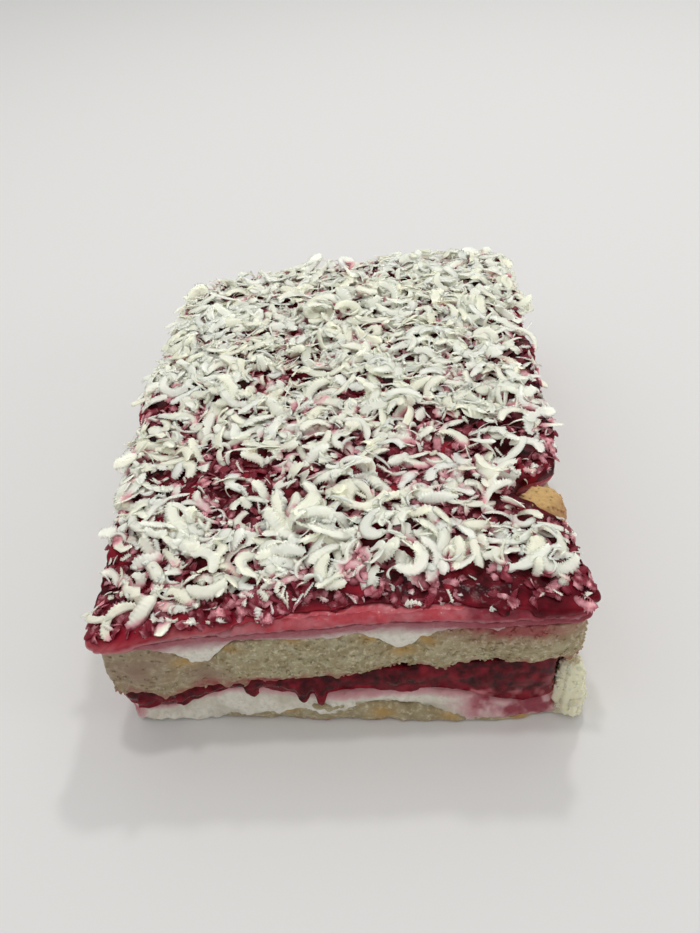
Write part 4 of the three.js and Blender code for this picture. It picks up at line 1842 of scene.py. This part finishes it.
@dataclass
class ShavingPile:
    """All the shavings. Each is dropped on the sauce and comes to rest on what already lies there."""

    sauce: bpy.types.Object
    finish: ShavingFinish
    cuts: dict[Kind, ShavingCut]
    clear_at: tuple[float, float]
    left: float = -83.0
    right: float = 83.0
    front: float = -114.0
    back: float = 116.0
    cell: float = 0.7
    seed: int = 929
    tries: int = 3
    picks: int = 12
    fewest: int = 8
    margin: float = 4.0
    pitching: float = 0.14
    steepest: float = 0.6
    clear_share: float = 0.8
    deepest: float = 1.8
    sizes: tuple[float, float] = (0.82, 1.12)
    front_edge: float = -108.5
    clear_reach: tuple[float, float] = (8.4, 9.0)
    ground: Array = field(init=False)
    height: Array = field(init=False)
    rng: np.random.Generator = field(init=False)

    def __post_init__(self) -> None:
        """Read the sauce's height over a grid."""
        self.rng = np.random.default_rng(self.seed)
        mesh = self.sauce.data
        tree = BVHTree.FromPolygons([v.co for v in mesh.vertices], [p.vertices for p in mesh.polygons])
        across = np.arange(self.left, self.right, self.cell)
        deep = np.arange(self.front, self.back, self.cell)
        self.ground = np.full((len(across), len(deep)), -1.0)
        for i, x in enumerate(across):
            for j, y in enumerate(deep):
                level = level_at(tree, x, y)
                if math.isfinite(level):
                    self.ground[i, j] = level
        self.height = self.ground.copy()

    def cells_of(self, points: Array) -> tuple[Array, Array]:
        """Find the grid cells under a set of points.

        Args:
            points: The points.

        Returns:
            Numbers of the cells across and along the slab.
        """
        i = np.clip(((points[:, 0] - self.left) / self.cell).astype(int), 0, self.ground.shape[0] - 1)
        j = np.clip(((points[:, 1] - self.front) / self.cell).astype(int), 0, self.ground.shape[1] - 1)
        return i, j

    def white_chance(self, x: Array, y: Array, mound: Array) -> Array:
        """Work out where white shavings lie, before holes are left in the pile.

        Args:
            x: Places across the slab.
            y: Places along the slab.
            mound: How much each place belongs to the bare mound of sauce.

        Returns:
            How likely a shaving is at each place, from 0 to 1.
        """
        # A strip along the cut front stays bare, widest in its middle.
        strip = 3.0 + 9.0 * smooth(x, -52.0, -34.0) + 4.0 * hump(x - 50.0, 16.0) - 6.0 * smooth(x, 58.0, 68.0)
        chance = smooth(y - self.front_edge, strip - 3.0, strip + 3.0)
        # The right edge is thinly strewn, and the finger end and the corner in front of it are bare.
        edge = 0.75 * smooth(x, 66.0, 71.0) * smooth(y, 66.0, 50.0) * smooth(y, -98.0, -92.0)
        chance = chance * (1.0 - edge)
        chance = chance * (1.0 - 0.98 * hump(np.hypot(x - 68.0, y + 64.5), 12.5))
        chance = chance * (1.0 - smooth(x, 67.0, 71.0) * smooth(y, -84.0, -94.0))
        return chance * (1.0 - 0.9 * mound)

    def bare(self, spots: Array, kind: Kind) -> Array:
        """Work out where a kind of shaving lies.

        Args:
            spots: Places of the plan.
            kind: The kind.

        Returns:
            How likely it is to lie at each place, from 0 to 1.
        """
        x, y = spots[:, 0], spots[:, 1]
        flat = np.stack([x, y, 0.0 * x], axis=1)
        inside = y - self.front_edge
        mound = hump(np.hypot((x - 51.0) / 13.0, (y + 98.0) / 7.0), 1.0)
        chance = self.white_chance(x, y, mound)
        near = smooth(y, 30.0, -50.0)
        holes = smooth(fractal(flat, 17.0, 5, 3) + 0.16 - 0.3 * near, -0.32, 0.02)
        if kind is Kind.STAINED:
            strewn = np.clip(1.1 - chance * holes, 0.05, 1.0) * (0.45 + 0.55 * smooth(inside, 17.0, 9.0))
            return strewn * smooth(inside, -0.5, 2.0) * (1.0 - 0.85 * mound)
        chance = chance * (0.25 + 0.75 * holes) * (0.72 + 0.28 * smooth(y, 0.0, 45.0))
        if kind in (Kind.FLAKE, Kind.CRUMB):
            return np.maximum(chance, 0.22 * smooth(inside, 1.0, 3.0) * (1.0 - mound))
        return chance

    def spot(self, kind: Kind) -> Array:
        """Pick a place: of a few likely ones, the one with least on it so far.

        Args:
            kind: The kind of shaving.

        Returns:
            The place.
        """
        low = (self.left + self.margin, self.front + self.margin)
        high = (self.right - self.margin, self.back - self.margin)
        while True:
            tries = self.rng.uniform(low, high, (self.picks, 2))
            i, j = self.cells_of(tries)
            good = (self.ground[i, j] > 0.0) & (self.rng.random(self.picks) < self.bare(tries, kind))
            if good.any():
                i, j, tries = i[good], j[good], tries[good]
                return tries[np.argmin(self.height[i, j] - self.ground[i, j])]

    def settle(self, corners: Array, spot: Array, cut: ShavingCut) -> tuple[Array, Matrix]:
        """Let one shaving come to rest.

        Args:
            corners: The shaving's points about its own middle.
            spot: Where it falls.
            cut: How it was cut.

        Returns:
            Its place and its turn.
        """
        best: tuple[float, Array, Matrix, Array] | None = None
        for _ in range(self.tries):
            tip = math.pi if self.rng.random() < cut.flip else 0.0
            roll = tip + self.rng.normal(0.0, cut.roll)
            lean = Euler((roll, self.rng.normal(0.0, self.pitching), 0.0)).to_matrix()
            turn = Euler((0.0, 0.0, self.rng.uniform(0.0, 2 * math.pi))).to_matrix() @ lean
            laid = corners @ np.array(turn).T + (*spot, 0.0)
            i, j = self.cells_of(laid)
            under = self.height[i, j]
            known = under > 0.0
            away = np.linalg.norm((laid[:, :2] - self.clear_at) / self.clear_reach, axis=1)
            if known.sum() < self.fewest or away.min() < 1.0:
                continue
            local = laid[known, :2] - spot
            flat = np.column_stack([local, np.ones(known.sum())])
            slope = np.linalg.lstsq(flat, under[known], rcond=None)[0]
            slope = np.clip(slope, -self.steepest, self.steepest)
            tilt = Vector((-slope[0], -slope[1], 1.0)).normalized()
            turn = Vector((0.0, 0.0, 1.0)).rotation_difference(tilt).to_matrix() @ turn
            laid = corners @ np.array(turn).T + (*spot, 0.0)
            i, j = self.cells_of(laid)
            under = self.height[i, j]
            gap = under - laid[:, 2]
            rest = max(np.quantile(gap, self.clear_share), gap.max() - self.deepest)
            if best is None or rest < best[0]:
                best = (rest, np.array((*spot, rest)), turn, laid + (0.0, 0.0, rest))
        if best is None:
            return self.settle(corners, self.spot(Kind.CHIP), cut)
        i, j = self.cells_of(best[3])
        on = self.ground[i, j] > 0.0
        np.maximum.at(self.height, (i[on], j[on]), best[3][on, 2])
        return best[1], best[2]

    def shapes_of(self, kind: Kind) -> list[bpy.types.Object]:
        """Cut the shapes of one kind."""
        cut = self.cuts[kind]
        return [ShavingShape(cut, self.rng).build(f"{kind.value}_{k:03d}") for k in range(cut.shapes)]

    def drop_all(self, kinds: tuple[Kind, ...]) -> list[bpy.types.Object]:
        """Drop several kinds together, in mixed order.

        Args:
            kinds: The kinds that fall together.

        Returns:
            One piece for each kind.
        """
        shapes = {kind: self.shapes_of(kind) for kind in kinds}
        corners = {}
        for kind, made in shapes.items():
            corners[kind] = [np.array([v.co for v in s.data.vertices]) / MM for s in made]
        order = np.concatenate([np.full(self.cuts[kind].count, n) for n, kind in enumerate(kinds)])
        self.rng.shuffle(order)
        keys = ("place", "turn", "shape", "size", "tint", "thirst")
        spots = {kind: {key: [] for key in keys} for kind in kinds}
        for n in order:
            kind = kinds[n]
            pick = int(self.rng.integers(len(shapes[kind])))
            size = float(self.rng.uniform(*self.sizes))
            place, turn = self.settle(corners[kind][pick] * size, self.spot(kind), self.cuts[kind])
            held = spots[kind]
            held["place"].append(place)
            held["turn"].append(tuple(turn.to_euler()))
            held["shape"].append(pick)
            held["size"].append(size)
            held["tint"].append(self.rng.beta(1.2, 1.6))
            held["thirst"].append(self.rng.random())
        return [self.finished(kind, shapes[kind], spots[kind]) for kind in kinds]

    def finished(self, kind: Kind, shapes: list[bpy.types.Object], held: dict[str, list]) -> bpy.types.Object:
        """Make the piece of one kind and soak its corners in the sauce.

        Args:
            kind: The kind.
            shapes: Its shapes.
            held: Where each shaving came to rest.

        Returns:
            The piece.
        """
        kinds = {"place": np.float64, "shape": np.int32}
        spots = {key: np.array(values, kinds.get(key, np.float32)) for key, values in held.items()}
        material = self.finish.material()
        mesh = scattered(kind.value, shapes, spots, material)
        points = np.empty(3 * len(mesh.vertices), np.float32)
        mesh.vertices.foreach_get("co", points)
        points = points.reshape(-1, 3).astype(float) / MM
        thirst = np.empty(len(mesh.vertices), np.float32)
        mesh.attributes["thirst"].data.foreach_get("value", thirst)
        i, j = self.cells_of(points)
        above = np.where(self.ground[i, j] > 0.0, points[:, 2] - self.ground[i, j], 3.0)
        soak = smooth(above + 0.8 * fractal(points, 3.0, 3) + 2.2 * (thirst - 0.5), 1.8, -0.9)
        if kind is Kind.STAINED:
            soak = np.clip(0.68 + 0.45 * thirst + 0.6 * fractal(points, 1.4, 8), 0.0, 1.0)
        set_attribute(mesh, "soak", soak)
        mesh.polygons.foreach_set("use_smooth", np.ones(len(mesh.polygons), bool))
        return dressed(mesh, material, Layer.SAUCE)


# The studio

@dataclass(frozen=True)
class Lamp:
    """A soft round lamp. Its place, what it faces and its width are in metres."""

    name: str
    place: Place
    aim: Place
    width: float
    power: float
    colour: Colour = (1.0, 0.99, 0.97)

    def hang(self) -> None:
        """Put the lamp into the scene."""
        lamp = bpy.data.lights.new(self.name, "AREA")
        lamp.shape = "DISK"
        lamp.size = self.width
        lamp.energy = self.power
        lamp.color = self.colour
        hung = bpy.data.objects.new(self.name, lamp)
        hung.location = self.place
        way = Vector(self.aim) - Vector(self.place)
        hung.rotation_euler = way.to_track_quat("-Z", "Y").to_euler()
        bpy.context.scene.collection.objects.link(hung)


@dataclass
class Studio:
    """A pale floor, soft lights and the camera."""

    eye: Place = (24.385, -253.720, 227.1)
    yaw: float = -4.98
    pitch: float = 39.73
    roll: float = -6.32
    focal_share: float = 810.0 / 933.0
    sensor: float = 36.0
    view_depth: tuple[float, float] = (0.01, 20.0)
    floor_half: float = 3000.0
    floor_level: float = -0.2
    floor_tone: Colour = (0.86, 0.86, 0.86)
    sky_colour: Colour = (1.0, 0.99, 0.97)
    sky_strength: float = 0.41
    lamps: tuple[Lamp, ...] = (
        Lamp("overhead", (-0.3, 0.7, 2.3), (0.0, 0.25, 0.0), 5.0, 21.5, (1.0, 0.99, 0.96)),
        Lamp("back_glint", (0.3, 0.75, 1.3), (0.0, 0.0, 0.03), 0.12, 3.4),
        Lamp("top_glint", (-0.1, 0.1, 1.6), (0.0, -0.05, 0.03), 0.12, 3.4),
        Lamp("side", (1.3, -0.35, 0.5), (0.07, -0.1, 0.03), 0.6, 1.8),
    )

    def camera(self) -> None:
        """Set up the camera."""
        yaw, pitch, roll = (math.radians(a) for a in (self.yaw, self.pitch, self.roll))
        level_way = math.cos(pitch)
        ahead = Vector((math.sin(yaw) * level_way, math.cos(yaw) * level_way, -math.sin(pitch)))
        level = Vector((math.cos(yaw), -math.sin(yaw), 0.0))
        upright = level.cross(ahead)
        right = math.cos(roll) * level + math.sin(roll) * upright
        up = -math.sin(roll) * level + math.cos(roll) * upright
        lens = bpy.data.cameras.new("camera")
        lens.sensor_width = self.sensor
        lens.lens = self.focal_share * self.sensor
        lens.clip_start, lens.clip_end = self.view_depth
        camera = bpy.data.objects.new("camera", lens)
        turn = Matrix((right, up, -ahead)).transposed().to_4x4()
        camera.matrix_world = Matrix.Translation(Vector(self.eye) * MM) @ turn
        bpy.context.scene.collection.objects.link(camera)
        bpy.context.scene.camera = camera

    def floor(self) -> None:
        """Lay the floor."""
        corners = [(-1.0, -1.0), (1.0, -1.0), (1.0, 1.0), (-1.0, 1.0)]
        points = np.array([(x * self.floor_half, y * self.floor_half, self.floor_level) for x, y in corners])
        mesh = new_mesh("floor", points, [np.array([[0, 1, 2, 3]])])
        s = Shader("pale_floor")
        mesh.materials.append(s.finish(Base_Color=self.floor_tone, Roughness=0.9, Specular_IOR_Level=0.1))
        new_object(mesh)

    def build(self) -> None:
        """Build the whole studio."""
        self.camera()
        self.floor()
        scene = bpy.context.scene
        scene.view_settings.view_transform = "Standard"
        world = bpy.data.worlds.new("studio")
        world.use_nodes = True
        sky = world.node_tree.nodes["Background"]
        sky.inputs["Color"].default_value = (*self.sky_colour, 1.0)
        sky.inputs["Strength"].default_value = self.sky_strength
        scene.world = world
        for lamp in self.lamps:
            lamp.hang()


CUTS = {
    Kind.STAINED: ShavingCut(
        count=820, shapes=16, length=(2.0, 6.0), width=(1.6, 3.8), arch=(0.1, 0.9), curl=(0.0, 0.5),
        cup=(0.08, 0.4), ridge=0.06, teeth=(0.5, 1.1), pitch=(0.6, 0.8), thickness=0.28, uneven=0.7,
        taper=0.3, roll=0.5,
    ),
    Kind.CHIP: ShavingCut(
        count=800, shapes=20, length=(3.0, 8.0), width=(1.8, 4.0), arch=(0.1, 0.7), curl=(0.0, 0.8),
        cup=(0.08, 0.3), ridge=0.04, teeth=(0.6, 1.6), thickness=0.28, uneven=0.8, taper=0.3, roll=0.35,
        flip=0.35,
    ),
    Kind.CURL: ShavingCut(
        count=370, shapes=18, length=(10.0, 20.0), width=(3.0, 4.6), arch=(0.1, 0.6), curl=(0.8, 3.4),
        cup=(0.15, 0.5), ridge=0.04, teeth=(0.7, 1.4), thickness=0.36, roll=0.4, flip=0.3,
    ),
    Kind.GRUB: ShavingCut(
        count=110, shapes=14, length=(7.0, 13.0), width=(3.8, 5.0), arch=(0.2, 0.8), curl=(0.1, 1.0),
        cup=(0.4, 0.8), ridge=0.08, teeth=(0.5, 0.9), thickness=0.4, roll=0.3, flip=0.2,
    ),
    Kind.RIBBON: ShavingCut(
        count=470, shapes=18, length=(6.0, 15.0), width=(3.0, 5.4), arch=(0.2, 1.0), curl=(0.1, 1.6),
        cup=(0.1, 0.35), ridge=0.05, teeth=(0.8, 1.6), thickness=0.3, taper=0.35, roll=0.42, flip=0.35,
    ),
    Kind.RING: ShavingCut(
        count=80, shapes=6, length=(10.0, 15.0), width=(2.2, 3.4), arch=(0.4, 1.6), curl=(3.4, 5.2),
        cup=(0.25, 0.5), ridge=0.04, teeth=(0.6, 1.1),
    ),
    Kind.FLAKE: ShavingCut(
        count=1300, shapes=16, length=(1.6, 4.6), width=(0.8, 2.2), arch=(0.0, 0.8), curl=(0.0, 0.8),
        cup=(0.06, 0.2), ridge=0.02, teeth=(0.6, 1.3), pitch=(0.7, 1.1), across=3, thickness=0.2,
        uneven=0.8, taper=0.35, roll=0.4, flip=0.5,
    ),
    Kind.WISP: ShavingCut(
        count=320, shapes=10, length=(4.0, 11.0), width=(0.7, 1.5), arch=(0.3, 1.2), curl=(0.3, 2.6),
        cup=(0.2, 0.5), ridge=0.05, teeth=(0.1, 0.7), across=3, thickness=0.3, taper=0.7, roll=0.6,
    ),
    Kind.CRUMB: ShavingCut(
        count=140, shapes=6, length=(0.7, 1.8), width=(0.5, 1.3), arch=(0.0, 0.6), curl=(0.0, 0.4),
        cup=(0.1, 0.4), ridge=0.05, teeth=(0.3, 0.8), across=3, thickness=0.25, uneven=0.6, roll=0.8,
        flip=0.5,
    ),
}
FALLS = (
    (Kind.STAINED,),
    (Kind.CHIP,),
    (Kind.CURL, Kind.GRUB, Kind.RIBBON, Kind.RING),
    (Kind.FLAKE, Kind.WISP, Kind.CRUMB),
)
FINGER_END = (67.0, -63.0)
CORNER_CRUMB = (71.6, -104.2)
# Colours of the pale corner crumb: its crumb, the painted shade of its pores and grain hollows, and its light
# tone, which also gives painted highlights on the grain tops.
PALE_CRUMB = {"crumb": (0.90, 0.84, 0.58), "shade": (0.80, 0.72, 0.42), "fresh_and_highlight": (1.0, 0.96, 0.70)}


def build_layers(columns: SlabColumns) -> None:
    """Dress the layers under the sauce, from the base up.

    Args:
        columns: The lines round the slab.
    """
    SpongeSkin(
        columns, Layer.BASE, Slot.SPONGE, SpongeFinish("base_crumb"), "base_sponge_crumb", 14, seed=11,
        ragged=0.0,
        crusts=(Mark(-48.0, 3.6, 3.0, 2.0), Mark(-16.0, 6.0, 3.0, 1.6), Mark(14.0, 4.5, 4.0, 2.5),
                Mark(34.0, 3.0, 3.0, 2.2), Mark(55.0, 1.2, 4.0, 2.0)),
        pales=(Mark(75.0, 4.0, 9.0, 14.0),), all_soak=0.1,
    ).build()
    CreamSkin(
        columns, Layer.LOWER_CREAM, Slot.CREAM, CreamFinish("lower_cream_finish"), "lower_cream_layer", 14,
        seed=21, blush_depth=(3.6, 0.0), blush=0.62,
        stains=(Mark(46.0, 7.0, 9.0, 6.0), Mark(60.0, 5.0, 14.0, 7.0), Mark(-67.0, 6.0, 3.5, 4.0)),
        sags=(Mark(-58.0, 0.0, 28.0, 4.6), Mark(-20.0, 0.0, 9.0, 2.0), Mark(-3.0, 0.0, 7.0, 4.2),
              Mark(36.0, 0.0, 9.0, 4.2), Mark(58.0, 0.0, 20.0, 2.4)),
    ).build()
    FillingSkin(
        columns, Layer.FILLING, Slot.FILLING,
        BerryFinish("filling_fruit", fruit=(0.18, 0.005, 0.014), pulp_depth=0.5),
        "berry_filling_layer", 16, seed=31,
        drips=(Mark(-26.5, 13.0, 3.0, 2.6), Mark(-10.7, 12.0, 2.6, 2.2), Mark(-5.2, 9.5, 2.2, 4.2),
               Mark(-49.0, 13.0, 2.4, 1.4), Mark(-61.0, 12.0, 3.0, 1.6)),
        smears=(Mark(53.0, 8.6, 9.0, 4.0), Mark(66.0, 10.0, 4.5, 7.0), Mark(41.0, 11.0, 6.0, 2.0)),
    ).build()
    sponge = SpongeSkin(
        columns, Layer.SPONGE, Slot.SPONGE, SpongeFinish("sponge_crumb"), "upper_sponge_crumb", 36, seed=41,
        hanging=(Mark(-54.5, 16.3, 2.6, 2.6), Mark(-28.2, 19.9, 1.6, 2.4), Mark(1.2, 19.1, 1.6, 2.2),
                 Mark(23.7, 20.8, 1.5, 2.6), Mark(32.6, 15.2, 2.0, 4.4), Mark(46.9, 23.8, 1.6, 2.0)),
        crusts=(Mark(-43.5, 32.6, 4.0, 2.2), Mark(-32.0, 37.4, 5.0, 1.3), Mark(-11.5, 39.9, 2.6, 1.6),
                Mark(11.8, 38.6, 3.6, 1.6), Mark(21.5, 32.0, 4.5, 2.0), Mark(28.5, 37.0, 3.0, 1.6)),
        stains=(Mark(54.0, 42.6, 16.0, 6.2), Mark(51.0, 41.0, 13.0, 2.6), Mark(-23.0, 20.8, 7.0, 1.6),
                Mark(-39.0, 20.6, 5.0, 2.0)),
        soaks=(Mark(-59.0, 31.0, 17.0, 13.0), Mark(-37.0, 25.0, 6.0, 5.0)),
    ).build()
    CrumbCoat(sponge, Layer.SPONGE, SpongeFinish("loose_crumb"), "upper_sponge_loose_crumbs").build()
    CreamSkin(
        columns, Layer.UPPER_CREAM, Slot.CREAM,
        CreamFinish("upper_cream_finish", blush=(0.62, 0.42, 0.42), stain=(0.42, 0.13, 0.16)),
        "upper_cream_layer", 18, seed=51, blush_depth=(8.2, 0.6), blush=1.0, uneven=1.2, lip=1.2,
        rounding=0.25,
        stains=(Mark(57.0, 44.6, 15.0, 4.0), Mark(42.0, 44.6, 9.0, 4.0), Mark(-63.0, 42.4, 10.0, 2.4)),
    ).build()
    BandSkin(
        columns, Layer.BAND, Slot.BAND,
        BerryFinish("berry_cream_finish", thick=(0.20, 0.012, 0.030), fruit=(0.30, 0.022, 0.046),
                    thin=(0.51, 0.057, 0.078), milky=(0.52, 0.24, 0.265), roughness=(0.06, 0.22), lump=1.6,
                    pulp_depth=0.55, grain=0.1, shine=0.35),
        "berry_cream_band", 12, seed=55, rounding=0.35,
    ).build()


def build_lumps(columns: SlabColumns) -> None:
    """Build the finger end at the right edge and the pale crumb at the front corner.

    Args:
        columns: The lines round the slab.
    """
    finger = SpongeLump(
        SpongeFinish("finger_end_crumb", crust=(0.68, 0.44, 0.18)), columns, Layer.SPONGE,
        "sponge_finger_end", FINGER_END, (8.0, 8.6), 8.5, crust=1.15, stain=0.5, rough=1.1,
    ).build()
    finish = SpongeFinish("finger_end_loose", crust=(0.62, 0.42, 0.18))
    CrumbCoat(finger, Layer.SPONGE, finish, "finger_end_loose_crumbs", 9.0).build()
    corner = SpongeLump(
        SpongeFinish("corner_crumb", **PALE_CRUMB), columns, Layer.BASE, "base_corner_crumb",
        CORNER_CRUMB, (5.0, 5.6), 21.5, pale=1.0, rough=1.6, shoulder=4.5, seed=87,
    ).build()
    finish = SpongeFinish("corner_loose", **PALE_CRUMB)
    CrumbCoat(corner, Layer.BASE, finish, "base_corner_loose_crumbs", 22.0).build()


def main() -> None:
    """Build the slab's pieces in order, then the studio."""
    logging.basicConfig(level=logging.INFO, format="%(name)s: %(message)s")
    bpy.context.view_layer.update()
    columns = SlabColumns()
    build_layers(columns)
    sauce_finish = BerryFinish("sauce_fruit", shine=0.11, pulp_depth=0.45, roughness=(0.04, 0.09))
    lumps = (Mark(50.0, 1.8, 9.0, -96.0), Mark(75.0, 1.0, 3.0, -101.0))
    sauce = SauceCoat(columns, sauce_finish, lumps=lumps).build()
    build_lumps(columns)
    pile = ShavingPile(sauce, ShavingFinish("white_shaving"), CUTS, FINGER_END)
    for kinds in FALLS:
        pile.drop_all(kinds)
    Studio().build()


if __name__ == "__main__":
    main()
